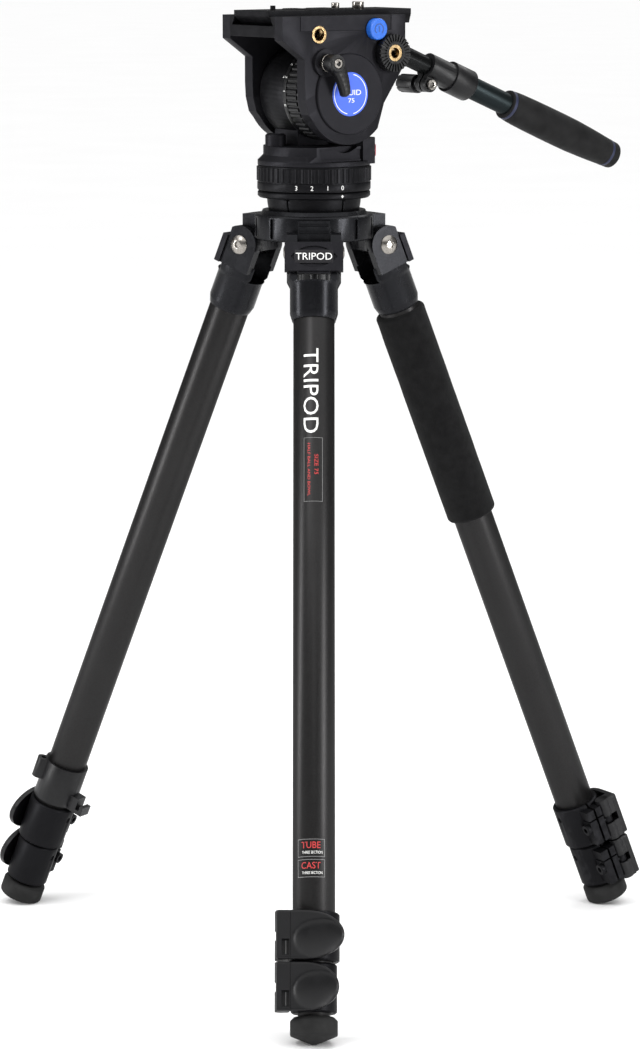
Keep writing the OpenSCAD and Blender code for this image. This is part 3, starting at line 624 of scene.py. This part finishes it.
@dataclass(frozen=True)
class Print:
    """Ink that is laid on a surface: lettering, bars and frames, described flat and then wrapped.

    Fields:
        height: height of the capitals, in millimetres.
        thickness: how far the ink stands off the surface, in millimetres; not used.
    """

    height: float = 4.0
    thickness: float = 0.08

    def letters(self, words: str, width: float | None = None) -> tuple[list[Point], list[tuple[int, ...]]]:
        """Draws words as flat faces, centred on the origin.

        Args:
            words: the text.
            width: total width to stretch it to, in millimetres.

        Returns:
            The points, in millimetres, and the faces.
        """
        curve = bpy.data.curves.new("lettering", "FONT")
        curve.body = words
        curve.resolution_u = 3
        holder = bpy.data.objects.new("lettering", curve)
        mesh = bpy.data.meshes.new_from_object(holder)
        finer = bmesh.new()
        finer.from_mesh(mesh)
        bmesh.ops.triangulate(finer, faces=finer.faces)
        for _ in range(3):
            long_edges = [e for e in finer.edges if e.calc_length() > 0.14]
            if self.height < 6.0 or not long_edges:
                break
            bmesh.ops.subdivide_edges(finer, edges=long_edges, cuts=1)
            bmesh.ops.triangulate(finer, faces=finer.faces)
        finer.to_mesh(mesh)
        finer.free()
        points = [v.co.copy() for v in mesh.vertices]
        faces = [tuple(p.vertices) for p in mesh.polygons]
        bpy.data.meshes.remove(mesh)
        bpy.data.objects.remove(holder)
        bpy.data.curves.remove(curve)
        low = Vector((min(p.x for p in points), min(p.y for p in points), 0))
        high = Vector((max(p.x for p in points), max(p.y for p in points), 0))
        size = high - low
        tall = self.height / size.y
        wide = width / size.x if width else tall
        middle = (low + high) / 2
        return [((p.x - middle.x) * wide, (p.y - middle.y) * tall, 0.0) for p in points], faces

    def frame(self, width: float, height: float, line: float) -> tuple[list[Point], list[tuple[int, ...]]]:
        """Draws a rectangular outline, centred on the origin, as narrow strips."""
        points: list[Point] = []
        faces: list[tuple[int, ...]] = []
        w, h = width / 2, height / 2
        for x0, y0, x1, y1 in ((-w, -h, w, -h + line), (-w, h - line, w, h),
                               (-w, -h + line, -w + line, h - line), (w - line, -h + line, w, h - line)):
            steps = max(1, int(max(x1 - x0, y1 - y0) / 2.0))
            for i in range(steps):
                along_x = x1 - x0 > y1 - y0
                ax = x0 + (x1 - x0) * i / steps if along_x else x0
                bx = x0 + (x1 - x0) * (i + 1) / steps if along_x else x1
                ay = y0 if along_x else y0 + (y1 - y0) * i / steps
                by = y1 if along_x else y0 + (y1 - y0) * (i + 1) / steps
                start = len(points)
                points += [(ax, ay, 0.0), (bx, ay, 0.0), (bx, by, 0.0), (ax, by, 0.0)]
                faces.append((start, start + 1, start + 2, start + 3))
        return points, faces

    def lay(self, sketch: Sketch, flat: tuple[list[Point], list[tuple[int, ...]]], finish: Finish,
            wrap: Callable[[float, float], Point]) -> None:
        """Wraps flat faces onto a surface and adds them to a piece.

        Args:
            sketch: the piece that the ink is part of.
            flat: points and faces from letters or frame.
            finish: the ink.
            wrap: maps a flat point to a point in the piece's local frame.
        """
        points, faces = flat
        start = len(sketch.points)
        slot = sketch.finish_index(finish)
        sketch.points.extend(Vector(wrap(p[0], p[1])) for p in points)
        for face in faces:
            sketch.faces.append(tuple(start + i for i in face))
            sketch.slots.append(slot)


def publish(piece: bpy.types.Object, body: str, slot: str, *nodes: str) -> None:
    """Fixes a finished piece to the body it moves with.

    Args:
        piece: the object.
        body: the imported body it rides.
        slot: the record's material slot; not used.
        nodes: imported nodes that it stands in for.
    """
    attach(piece, body)
    if nodes:
        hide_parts(*nodes)
    LOG.info("built %s on %s", piece.name, body)


# ---------------------------------------------------------------- legs


@dataclass
class FlipLever:
    """A leg lock's lever: a knuckled hub and a rounded thumb tab with a raised rim and an oval dish.

    Fields:
        top: where the lock starts along the leg, in millimetres, as all that follow are.
        band_radius: radius of the band that the tab lies on.
        reach: how far sideways the tab's tip is.
        half: half the tab's height.
        plate: the tab's thickness.
        pivot: the pin's place, outward and sideways.
        knuckle: the hub's outer end, sideways.
        arch: where the tab starts to narrow.
        rim: radius of the rounding round the tab's face.
        corner: radius of the hub's corners.
        dish: depth of the thumb dish.
        slot_depth: depth of the slot that shows the pin.
        gap: half the gap between the hub's two knuckles.
    """

    side: Side
    position: str
    top: float
    band_radius: float
    reach: float
    half: float = 18.5
    plate: float = 4.6
    pivot: tuple[float, float] = (12.0, -24.0)
    knuckle: float = -28.6
    arch: float = -8.0
    rim: float = 1.6
    corner: float = 2.0
    dish: float = 2.9
    slot_depth: float = 3.2
    gap: float = 3.6

    def outline(self, v: float) -> float:
        """Returns half the tab's height at a distance sideways."""
        bend = self.knuckle + self.corner
        if v < bend:
            return self.half - self.corner + math.sqrt(max(0.0, self.corner ** 2 - (bend - v) ** 2))
        if v <= self.arch:
            return self.half
        share = min(1.0, (v - self.arch) / (self.reach - self.arch))
        return self.half * (1.0 - share ** 2.1) ** 0.5

    def face(self, v: float, d: float) -> float:
        """Returns the height of the tab's outer face above its back at a point."""
        border = min(self.outline(v) - abs(d), v - self.knuckle)
        slope = (self.outline(v) - self.outline(v + 0.5)) / 0.5
        border = max(0.0, border / math.hypot(1.0, slope) if v < self.reach - 0.5 else 0.0)
        high = self.plate
        if border < self.rim:
            high -= self.rim - math.sqrt(max(0.0, self.rim ** 2 - (self.rim - border) ** 2))
        centre = (self.reach - 16.5) / 2
        span = self.reach - centre - 1.2
        tip = max(0.0, min(1.0, (v - centre) / span))
        q = ((v - centre) / span) ** 2 + ((d - 3.5 + 3.5 * tip) / (self.half - 4.6)) ** 2
        if q < 1.0:
            high -= self.dish * (1.0 - q) ** 0.5
        if abs(v + 17.6) < 0.2:
            high -= 0.5
        if -24.2 < v < -18.4 and 3.4 < d < 15.4:
            high -= self.slot_depth
        return high

    def build(self) -> None:
        """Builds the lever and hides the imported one."""
        axes = LegAxes(self.side)
        middle = self.top + self.half
        place = turned_about(axes.matrix(), 0, 0, middle)
        sketch = Sketch(f"{self.side.value}_{self.position}_lever_sculpted", place)
        base = self.band_radius + 0.4
        v_marks = [-28.6, -28.5, -28.3, -28.0, -27.6, -27.1, -26.6, -24.25, -24.15, -18.45, -18.35,
                   -17.85, -17.75, -17.45, -17.35]
        v_marks += [-16.6 + i * (self.reach + 14.6) / 34 for i in range(35)]
        v_marks += [self.reach - x for x in (1.5, 1.0, 0.6, 0.3, 0.1, 0.02)]
        d_marks = [0.0, *(d / self.half for d in (3.35, 3.45, 15.35, 15.45)),
                   0.86, 0.885, 0.91, 0.935, 0.955, 0.97, 0.985, 0.994, 1.0]
        d_marks += [0.07 * i for i in range(1, 12)]
        d_marks = sorted(set(d_marks + [-x for x in d_marks]))
        v_marks = sorted(v for v in v_marks if v <= self.reach - 0.02)
        front = [[(base + self.face(v, s * self.outline(v)), v, s * self.outline(v)) for s in d_marks]
                 for v in v_marks]
        back = [[(base, v, s * self.outline(v)) for s in d_marks] for v in v_marks]
        sketch.skin(front, NYLON, closed=False)
        sketch.skin(back, NYLON, closed=False)
        for front_row, back_row in ((front[0], back[0]), (front[-1], back[-1])):
            sketch.skin([front_row, back_row], NYLON, closed=False)
        for edge in (0, -1):
            sketch.skin([[row[edge] for row in front], [row[edge] for row in back]], NYLON, closed=False)
        pu, pv = self.pivot
        for low, high in ((-self.half, -self.gap), (self.gap, self.half)):
            sketch.block((pu, pv - 4.4, low), (base + 0.5, pv + 4.5, high), NYLON)
            rows = [[(pu + 5.5 * math.cos(a), pv + 5.5 * math.sin(a), d)
                     for a in (math.radians(15 * i) for i in range(24))] for d in (low, high)]
            sketch.skin(rows, NYLON, caps=(True, True))
        rows = [[(base + 1.2 + 1.0 * math.cos(a), -21.0 + 1.0 * math.sin(a), d)
                 for a in (math.radians(30 * i) for i in range(12))] for d in (4.4, 14.6)]
        sketch.skin(rows, PIN, caps=(True, True))
        piece = sketch.build(smooth_below=38.0)
        node = f"{self.side.value}_{self.position}_lever"
        publish(piece, node, "moulded_black", node)


@dataclass
class LatchPlate:
    """Grey name plate with a raised border on an angle latch, with generic lettering."""

    side: Side
    width: float = 30.6
    height: float = 10.8
    face: float = 15.7
    centre: float = 8.3
    words: str = "TRIPOD"

    def build(self) -> None:
        """Builds the plate with its border and letters."""
        place = turned_about(LegAxes(self.side).matrix(), self.face, 0, self.centre)
        sketch = Sketch(f"{self.side.value}_latch_plate", place)
        w, h = self.width / 2, self.height / 2
        corners = ((-w, -h), (w, -h), (w, h), (-w, h))
        rows = []
        for inset, lift in ((0.0, 0.0), (0.0, 0.35), (0.4, 0.6), (1.0, 0.6), (1.15, 0.45)):
            rows.append([(lift, v - math.copysign(inset, v), d - math.copysign(inset, d))
                         for v, d in corners])
        sketch.skin(rows, PLATE_GREY, caps=(True, True))
        ink = Print(height=5.7)
        ink.lay(sketch, ink.letters(self.words, 28.6), WHITE_INK, lambda x, y: (0.55, x, -y))
        publish(sketch.build(), f"{self.side.value}_angle_latch", "cast_black")


@dataclass
class TubePrint:
    """Printed lettering and labels down the front leg's upper tube."""

    side: Side = Side.FRONT
    radius: float = 16.2

    def wrap(self, offset: float, start: float, upright: bool = True) -> Callable[[float, float], Point]:
        """Returns a map from flat ink to the tube's surface.

        Args:
            offset: distance sideways from the tube's front line.
            start: distance down the leg of the ink's centre.
            upright: whether the lettering reads down the leg, in place of across it.
        """
        def onto(x: float, y: float) -> Point:
            """Wraps one point."""
            along, across = (x, y) if upright else (-y, x)
            angle = (offset + across) / self.radius
            r = self.radius + 0.06
            return (r * math.cos(angle), r * math.sin(angle), start + along)
        return onto

    def build(self) -> None:
        """Builds the lettering, one tall label and two small ones."""
        sketch = Sketch(f"{self.side.value}_tube_print", LegAxes(self.side).matrix())
        big = Print(height=12.0)
        big.lay(sketch, big.letters("TRIPOD", 68.0), WHITE_INK, self.wrap(-2.4, 117.0))
        label = Print(height=3.0)
        label.lay(sketch, label.frame(51.0, 15.0, 0.35), GREY_INK, self.wrap(-0.6, 180.0))
        label.lay(sketch, label.letters("SIZE 75", 16.0), RED_INK, self.wrap(1.9, 176.0))
        small = Print(height=2.1)
        small.lay(sketch, small.letters("HALF BALL AND BOWL", 42.0), RED_INK, self.wrap(-3.9, 180.0))
        for centre, words in ((474.5, "TUBE"), (490.0, "CAST")):
            label.lay(sketch, label.frame(22.0, 13.6, 0.4), GREY_INK, self.wrap(-2.4, centre, False))
            big_word = Print(height=5.0)
            big_word.lay(sketch, big_word.letters(words, 15.0), RED_INK,
                         self.wrap(-2.4, centre - 2.2, False))
            small.lay(sketch, small.letters("THREE SECTION", 16.0), WHITE_INK,
                      self.wrap(-1.4, centre + 3.4, False))
        publish(sketch.build(), f"{self.side.value}_upper_leg", "tube_grey")


@dataclass
class FoamSleeve:
    """Closed-cell foam sleeve with softly rolled ends, on one upper tube."""

    side: Side = Side.RIGHT
    start: float = 60.0
    length: float = 187.0
    radius: float = 20.5
    bore: float = 16.2

    def build(self) -> None:
        """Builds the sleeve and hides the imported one."""
        sketch = Sketch("foam_sleeve", turned_about(LegAxes(self.side).matrix(), 0, 0, self.start))
        end = self.length
        profile = [(self.bore, 0.0)]
        profile += [(self.radius - 3 + 3 * math.sin(a), 3 - 3 * math.cos(a))
                    for a in (math.radians(15 * i) for i in range(1, 7))]
        profile += [(self.radius, end * i / 24) for i in range(1, 24)]
        profile += [(self.radius - 3 + 3 * math.cos(a), end - 3 + 3 * math.sin(a))
                    for a in (math.radians(15 * i) for i in range(0, 6))]
        profile += [(self.bore, end)]

        def uneven(angle: float, height: float) -> float:
            """Returns the foam's small unevenness."""
            where = Vector((2.2 * math.cos(angle), 2.2 * math.sin(angle), height * 0.06))
            return 0.22 * noise.noise(where) if 4.0 < height < end - 4.0 else 0.0

        sketch.lathe(profile, FOAM, steps=96, shape=uneven)
        piece = sketch.build(smooth_below=60.0)
        publish(piece, f"{self.side.value}_upper_leg", "foam", "foam_grip")


@dataclass
class RubberFoot:
    """Moulded rubber foot: a chamfered collar and a rounded cone that stands on its side."""

    side: Side
    start: float = 600.7
    radius: float = 18.0
    length: float = 21.3

    def build(self) -> None:
        """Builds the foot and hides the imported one."""
        sketch = Sketch(f"{self.side.value}_foot_moulded",
                        turned_about(LegAxes(self.side).matrix(), 0, 0, self.start))
        cone = self.radius * math.tan(math.radians(22.3))
        r, end = self.radius, self.length
        profile = [(12.0, 0.0), (r - 2.9, 0.0), (r - 2.5, 0.25), (r - 0.3, 2.5), (r, 3.0), (r, 6.0),
                   (r, end - cone - 1.2), (r - 0.12, end - cone - 0.3), (r - 0.6, end - cone + 0.25),
                   (4.0, end - 4.0 * cone / r),
                   (2.0, end - 2.2 * cone / r), (0.4, end - 0.9)]
        sketch.lathe(profile, RUBBER, steps=72)
        publish(sketch.build(smooth_below=50.0), f"{self.side.value}_lower_leg", "rubber",
                f"{self.side.value}_foot")


# ---------------------------------------------------------------- bowl and head


@dataclass
class DialPrint:
    """White numbers and index marks on a round part."""

    name: str
    place: Matrix
    radius: float
    body: str
    marks: list[tuple[str, float, float, float]] = field(default_factory=list)

    def build(self, slot: str) -> None:
        """Builds every mark of the dial.

        Args:
            slot: the record's material slot of the part below.
        """
        sketch = Sketch(self.name, self.place)
        for words, degrees, height, tall in self.marks:
            ink = Print(height=tall)
            start = math.radians(degrees)

            def onto(x: float, y: float, start: float = start, height: float = height) -> Point:
                """Wraps one point round the part."""
                angle = start + x / self.radius
                r = self.radius + 0.05
                return (r * math.cos(angle), r * math.sin(angle), height + y)

            if words == "<>":
                points = [(-tall * 0.4, 0.0, 0.0), (0.0, -tall / 2, 0.0), (tall * 0.4, 0.0, 0.0),
                          (0.0, tall / 2, 0.0)]
                ink.lay(sketch, (points, [(0, 1, 2, 3)]), WHITE_INK, onto)
            elif words == "|":
                points = [(-0.25, -tall / 2, 0.0), (0.25, -tall / 2, 0.0), (0.25, tall / 2, 0.0),
                          (-0.25, tall / 2, 0.0)]
                ink.lay(sketch, (points, [(0, 1, 2, 3)]), WHITE_INK, onto)
            else:
                ink.lay(sketch, ink.letters(words), WHITE_INK, onto)
        publish(sketch.build(), self.body, slot)


@dataclass
class BadgeFace:
    """The badge's thin white ring, broken at the top and the bottom, and its generic words."""

    centre: tuple[float, float] = (-4.0, 698.0)
    face: float = 43.3
    ring: tuple[float, float] = (15.3, 15.9)
    gap: float = 11.0

    def build(self) -> None:
        """Builds the ring and the lettering just proud of the badge."""
        turn = Matrix(((-1, 0, 0), (0, 0, 1), (0, 1, 0))).to_4x4()
        place = turned_about(head_matrix(), self.centre[0], self.face + 0.04, self.centre[1]) @ turn
        sketch = Sketch("badge_print", place)
        for side in (0.0, 180.0):
            angles = [math.radians(side - 90 + self.gap + i * (180 - 2 * self.gap) / 40) for i in range(41)]
            rows = [[(r * math.cos(a), r * math.sin(a), 0.0) for a in angles] for r in self.ring]
            sketch.skin(rows, WHITE_INK, closed=False)
        for words, height, width, low in (("FLUID", 4.2, 19.0, 1.2), ("75", 3.4, 6.0, -5.0)):
            ink = Print(height=height)
            ink.lay(sketch, ink.letters(words, width), WHITE_INK,
                    lambda x, y, low=low: (x + 1.0, y + low, 0.0))
        publish(sketch.build(), "tilt_head", "badge_blue")


@dataclass
class ButtonMark:
    """Pale sign on the release button: an open ring round an upright bar."""

    centre: tuple[float, float] = (-30.0, 748.5)
    ring: tuple[float, float] = (3.6, 4.5)
    bar: tuple[float, float] = (0.5, 2.2)

    def build(self) -> None:
        """Builds the sign just proud of the button's face."""
        button = frame["nodes"]["plate_release_button"].data.vertices
        face = max((head_matrix().inverted() @ v.co).y for v in button)
        turn = Matrix(((-1, 0, 0), (0, 0, 1), (0, 1, 0))).to_4x4()
        place = turned_about(head_matrix(), self.centre[0], face / MM + 0.05, self.centre[1]) @ turn
        sketch = Sketch("button_sign", place)
        angles = [math.radians(-50 + 280 * i / 40) for i in range(41)]
        rows = [[(r * math.cos(a), r * math.sin(a), 0.0) for a in angles] for r in self.ring]
        sketch.skin(rows, BUTTON_MARK, closed=False)
        w, h = self.bar
        sketch.skin([[(-w, z, 0.0), (w, z, 0.0)] for z in (-h, 0.0, h)], BUTTON_MARK, closed=False)
        publish(sketch.build(), "plate_release_button", "button_blue")


@dataclass
class ClampBolt:
    """Bright head and washer face of the handle clamp's bolt, with its hexagon socket."""

    at: Point = (-14.3, 9.2, 37.4)
    radius: float = 3.9

    def build(self) -> None:
        """Builds the head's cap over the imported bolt."""
        place = turned_about(handle_elbow(), *self.at, "X", -90.0)
        sketch = Sketch("clamp_bolt_head", place)
        r = self.radius
        steps = 48
        hexagon = [2.0 / max(abs(math.cos(math.radians(7.5 * i) - math.radians(60 * k))) for k in range(6))
                   for i in range(steps)]
        rows = [ring(q, z, steps) for q, z in ((r + 0.35, -1.8), (r + 0.4, -0.2), (r, 0.25), (2.7, 0.3))]
        rows += [[(hexagon[i] * math.cos(a), hexagon[i] * math.sin(a), z)
                  for i, a in enumerate(2 * math.pi * i / steps for i in range(steps))] for z in (0.1, -1.2)]
        sketch.skin(rows, STEEL, caps=(True, True))
        publish(sketch.build(), "handle_arm", "steel")


@dataclass
class PlatePad:
    """Ribbed rubber pad let into the top of the camera plate."""

    length: float = 84.0
    width: float = 40.0
    top: float = 763.5
    centre: float = 8.0

    def build(self) -> None:
        """Builds the pad as a row of low ribs on a thin sheet."""
        sketch = Sketch("camera_plate_pad", turned_about(head_matrix(), self.centre - 17.0, 0, self.top))
        for low, high in ((24.0, 45.0), (54.0, 66.0)):
            sketch.block((low - 40, -self.width / 2, 0.0), (high - 40, self.width / 2, 0.35), RUBBER)
            ribs = int((high - low) / 2.4)
            for i in range(ribs):
                x = low - 40 + 1.2 + i * 2.4
                sketch.block((x, -self.width / 2 + 1, 0.3), (x + 1.1, self.width / 2 - 1, 0.7), RUBBER)
        publish(sketch.build(bevel=0.15), "quick_plate", "rubber")


@dataclass
class HandleGrip:
    """Rubber grip of the pan handle: a waisted body with a dark blue band near each end."""

    start: float = 123.0
    length: float = 128.0

    def build(self) -> None:
        """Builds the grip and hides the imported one."""
        sketch = Sketch("handle_grip_moulded", handle_elbow())
        s, e = self.start, self.start + self.length
        body = [(9.4, s), (12.0, s), (12.3, s + 0.3), (12.35, s + 0.9)]
        first = [(12.35, s + 0.9), (12.62, s + 1.2), (12.7, s + 3.4), (12.45, s + 3.7)]
        middle = [(12.45, s + 3.7), (12.9, s + 4.3), (13.3, s + 9.0), (13.6, s + 14.0), (13.95, s + 28.0),
                  (14.15, s + 45.0), (14.2, s + 62.0), (14.05, s + 78.0), (13.4, s + 93.0), (12.65, e - 22.0),
                  (12.0, e - 13.0), (11.8, e - 10.4)]
        second = [(11.8, e - 10.4), (11.95, e - 10.1), (11.8, e - 8.1), (11.55, e - 7.8)]
        end = [(11.55, e - 7.8), (11.6, e - 6.0), (11.5, e - 2.6), (11.1, e - 1.2), (10.2, e - 0.3),
               (8.6, e), (0.5, e)]
        for profile, finish in ((body, GRIP_RUBBER), (first, BAND_BLUE), (middle, GRIP_RUBBER),
                                (second, BAND_BLUE), (end, GRIP_RUBBER)):
            rows = [ring(r, z, 72) for r, z in profile]
            sketch.skin(rows, finish, caps=(profile is body, profile is end))
        publish(sketch.build(smooth_below=50.0), "handle_tube", "rubber", "handle_grip")


def handle_elbow() -> Matrix:
    """Returns the handle's frame with its origin at the elbow and z along the tube."""
    along = Vector(joint("handle_slide")["axis"]).normalized()
    side = Vector(joint("tilt")["axis"]).normalized()
    up = side.cross(along)
    low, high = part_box("handle_tube")
    middle = (low + high) / 2
    knob = Vector(joint("handle_knob_turn")["pos_m"])
    start = middle + along * ((knob - middle).dot(along) - 37.4 * MM)
    turn = Matrix((up, side, along)).transposed().to_4x4()
    return Matrix.Translation(start) @ turn


@dataclass
class TiltLock:
    """Lever of the tilt lock: a domed hub, a bright collar and a curved, ribbed arm.

    Fields are in millimetres in the head's frame.
    """

    hub: tuple[float, float] = (19.8, 723.0)
    tip: tuple[float, float] = (8.0, 697.5)
    inner: float = 44.3
    outer: float = 60.0

    def build(self) -> None:
        """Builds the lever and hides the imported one."""
        place = turned_about(head_matrix(), self.hub[0], 0, self.hub[1])
        sketch = Sketch("tilt_lock_sculpted", place)
        for profile, finish in (
                ([(5.0, 34.5), (5.0, self.inner)], STEEL),
                ([(6.4, self.inner), (6.9, self.inner + 0.5), (6.9, self.inner + 3.0),
                  (6.2, self.inner + 3.6)], STEEL),
                ([(6.2, self.inner + 3.6), (7.0, self.inner + 4.2), (7.2, self.outer - 3.0),
                  (6.9, self.outer - 1.2), (6.0, self.outer), (4.3, self.outer),
                  (4.1, self.outer - 1.6)], NYLON),
                ([(3.9, self.outer - 3.0), (3.9, self.outer - 0.2), (3.4, self.outer + 0.3),
                  (2.1, self.outer + 0.3), (2.0, self.outer - 1.4)], STEEL)):
            rows = [[(r * math.cos(a), y, r * math.sin(a)) for a in (2 * math.pi * i / 48 for i in range(48))]
                    for r, y in profile]
            sketch.skin(rows, finish, caps=(True, True))
        dx, dz = self.tip[0] - self.hub[0], self.tip[1] - self.hub[1]
        reach = math.hypot(dx, dz)
        along = Vector((dx / reach, 0, dz / reach))
        across = Vector((along.z, 0, -along.x))
        rows = []
        for i in range(21):
            t = i / 20
            bend = 2.4 * math.sin(math.pi * t) * 0.8
            centre = along * (reach * t) + across * bend + Vector((0, self.outer - 5.2 - 1.6 * t, 0))
            half = 6.2 - 2.6 * t if t < 0.97 else 2.4
            deep = 5.0 - 0.8 * t if t < 0.97 else 3.2
            section = []
            for k in range(24):
                a = 2 * math.pi * k / 24
                cs, sn = math.cos(a), math.sin(a)
                wide = half * math.copysign(abs(cs) ** 0.55, cs)
                tall = deep * math.copysign(abs(sn) ** 0.55, sn)
                ridge = 0.25 if sn > 0.5 and i % 3 == 0 and 5 < i < 19 else 0.0
                point = centre + across * wide + Vector((0, tall - ridge, 0))
                section.append(tuple(point))
            rows.append(section)
        sketch.skin(rows, NYLON, caps=(True, True))
        publish(sketch.build(smooth_below=45.0), "tilt_lock_lever", "moulded_black", "tilt_lock_lever")


@dataclass
class SpiritLevel:
    """Ring line of the round spirit level."""

    centre: tuple[float, float] = (30.5, -10.0)
    top: float = 663.4

    def build(self) -> None:
        """Builds the dark ring line on the capsule's top."""
        place = turned_about(head_matrix(), self.centre[0], self.centre[1], self.top)
        sketch = Sketch("level_marks", place)
        rows = [ring(r, z, 48) for r, z in ((2.6, 0.0), (2.6, 0.08), (3.0, 0.08), (3.0, 0.0))]
        sketch.skin(rows, NYLON)
        publish(sketch.build(), "pan_base", "level_glass")


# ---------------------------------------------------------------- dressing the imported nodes


def node_kind(node: str) -> str:
    """Returns a node's kind: its name without the leg that it is on."""
    if node in NODE_FINISH:
        return node
    return node.split("_", 1)[1]


def dress_node(node: str, finish: Finish, edge: float = 0.35) -> None:
    """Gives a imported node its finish, true rounded edges and clean shading.

    Args:
        node: the node's name.
        finish: its finish.
        edge: how far its sharp edges are rounded, in millimetres.
    """
    piece = frame["nodes"][node]
    piece.data.materials.clear()
    piece.data.materials.append(finish.material())
    weld = piece.modifiers.new("weld", "WELD")
    weld.merge_threshold = 0.00001
    flat = piece.modifiers.new("flat", "DECIMATE")
    flat.decimate_type = "DISSOLVE"
    flat.angle_limit = math.radians(0.5)
    if edge > 0:
        bevel = piece.modifiers.new("edge", "BEVEL")
        bevel.width = edge * MM
        bevel.segments = 2
        bevel.limit_method = "ANGLE"
        bevel.angle_limit = math.radians(32)
        bevel.harden_normals = True
    LOG.info("dressed %s in %s", node, finish.name)


# ---------------------------------------------------------------- studio


@dataclass
class Studio:
    """Camera, lights and floor."""

    camera_distance: float = 3.1986
    camera_height: float = 0.8561
    camera_aside: float = 0.0004
    camera_tilt: float = 8.80
    focal_mm: float = 137.35
    shift: tuple[float, float] = (0.0053, -0.0132)
    floor_size: float = 120.0

    def add_camera(self) -> None:
        """Adds the camera, looking slightly down at the tripod along +Y."""
        data = bpy.data.cameras.new("studio_camera")
        data.lens = self.focal_mm
        data.sensor_width = 36.0
        data.shift_x, data.shift_y = self.shift
        data.clip_end = 200.0
        camera = bpy.data.objects.new("studio_camera", data)
        camera.location = (self.camera_aside, -self.camera_distance, self.camera_height)
        camera.rotation_euler = (math.radians(90.0 - self.camera_tilt), 0.0, 0.0)
        bpy.context.scene.collection.objects.link(camera)
        bpy.context.scene.camera = camera

    def add_floor(self) -> None:
        """Adds the white floor."""
        half = self.floor_size / 2
        mesh = bpy.data.meshes.new("studio_floor")
        mesh.from_pydata([(-half, -half, 0), (half, -half, 0), (half, half, 0), (-half, half, 0)], [],
                         [(0, 1, 2, 3)])
        floor = bpy.data.objects.new("studio_floor", mesh)
        floor.location.z = -0.0004
        mesh.materials.append(PAPER.material())
        bpy.context.scene.collection.objects.link(floor)

    def add_panel(self, name: str, at: Point, size: tuple[float, float], watts: float) -> None:
        """Adds one soft box that faces the tripod.

        Args:
            name: the light's name.
            at: where it stands.
            size: its width and height.
            watts: its power.
        """
        data = bpy.data.lights.new(name, "AREA")
        data.shape = "RECTANGLE"
        data.size, data.size_y = size
        data.energy = watts
        lamp = bpy.data.objects.new(name, data)
        lamp.location = at
        aim = Vector((0.0, 0.0, min(at[2], 0.6))) - Vector(at)
        lamp.rotation_euler = aim.to_track_quat("-Z", "Y").to_euler()
        bpy.context.scene.collection.objects.link(lamp)

    def add_lights(self) -> None:
        """Adds a dim even sky, an overhead wash, two tall strips at the sides and two soft boxes."""
        world = bpy.data.worlds.new("studio_sky")
        world.use_nodes = True
        background = world.node_tree.nodes["Background"]
        background.inputs["Color"].default_value = (1.0, 1.0, 1.0, 1.0)
        background.inputs["Strength"].default_value = 0.2
        bpy.context.scene.world = world
        self.add_panel("left_strip", (-2.56, -0.5, 0.75), (0.42, 1.5), 40.0)
        self.add_panel("right_strip", (2.12, -1.5, 0.75), (0.36, 1.5), 44.0)
        self.add_panel("key_box", (-1.4, -1.6, 2.6), (1.0, 1.0), 22.0)
        self.add_panel("back_box", (1.2, 1.6, 2.4), (1.2, 1.2), 16.0)
        sun = bpy.data.lights.new("overhead_wash", "SUN")
        sun.energy = 2.95
        sun.angle = math.radians(100)
        lamp = bpy.data.objects.new("overhead_wash", sun)
        lamp.rotation_euler = (math.radians(14), 0.0, 0.0)
        bpy.context.scene.collection.objects.link(lamp)
        view = bpy.context.scene.view_settings
        view.view_transform = "Standard"
        view.look = "None"


def main() -> None:
    """Builds the studio and dresses every piece of the tripod."""
    logging.basicConfig(level=logging.INFO, format="%(name)s: %(message)s")
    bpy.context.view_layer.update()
    studio = Studio()
    studio.add_camera()
    studio.add_floor()
    studio.add_lights()
    for node in sorted(frame["nodes"]):
        dress_node(node, NODE_FINISH[node_kind(node)])
    for side in Side:
        FlipLever(side, "upper", 522.5, 19.5, 23.0).build()
        FlipLever(side, "lower", 561.0, 17.5, 19.0).build()
        LatchPlate(side).build()
        RubberFoot(side).build()
    TubePrint().build()
    FoamSleeve().build()
    DialPrint("pan_drag_numbers", Matrix.Identity(4), 45.3, "pan_drag_ring",
              [("3", -108.0, 624.6, 3.6), ("2", -92.0, 624.6, 3.6), ("1", -76.0, 624.6, 3.6),
               ("0", -60.0, 624.6, 3.6)]).build("moulded_black")
    DialPrint("pan_drag_index", Matrix.Identity(4), 45.0, "half_ball",
              [("<>", -60.0, 617.8, 2.6)]).build("cast_black")
    drum = turned_about(head_matrix(), -4.0, 0.0, 698.0, "X", -90.0)
    DialPrint("tilt_drag_numbers", drum, 37.7, "tilt_drag_dial",
              [(words, angle, 6.2, 2.6)
               for words, angle in (("3", -37.0), ("2", -20.0), ("1", -3.0), ("0", 14.0))]
              ).build("moulded_black")
    DialPrint("tilt_drag_index", drum, 37.0, "pan_base", [("<>", -20.0, 1.6, 1.8)]).build("cast_black")
    BadgeFace().build()
    ButtonMark().build()
    ClampBolt().build()
    PlatePad().build()
    HandleGrip().build()
    TiltLock().build()
    SpiritLevel().build()


if __name__ == "__main__":
    main()
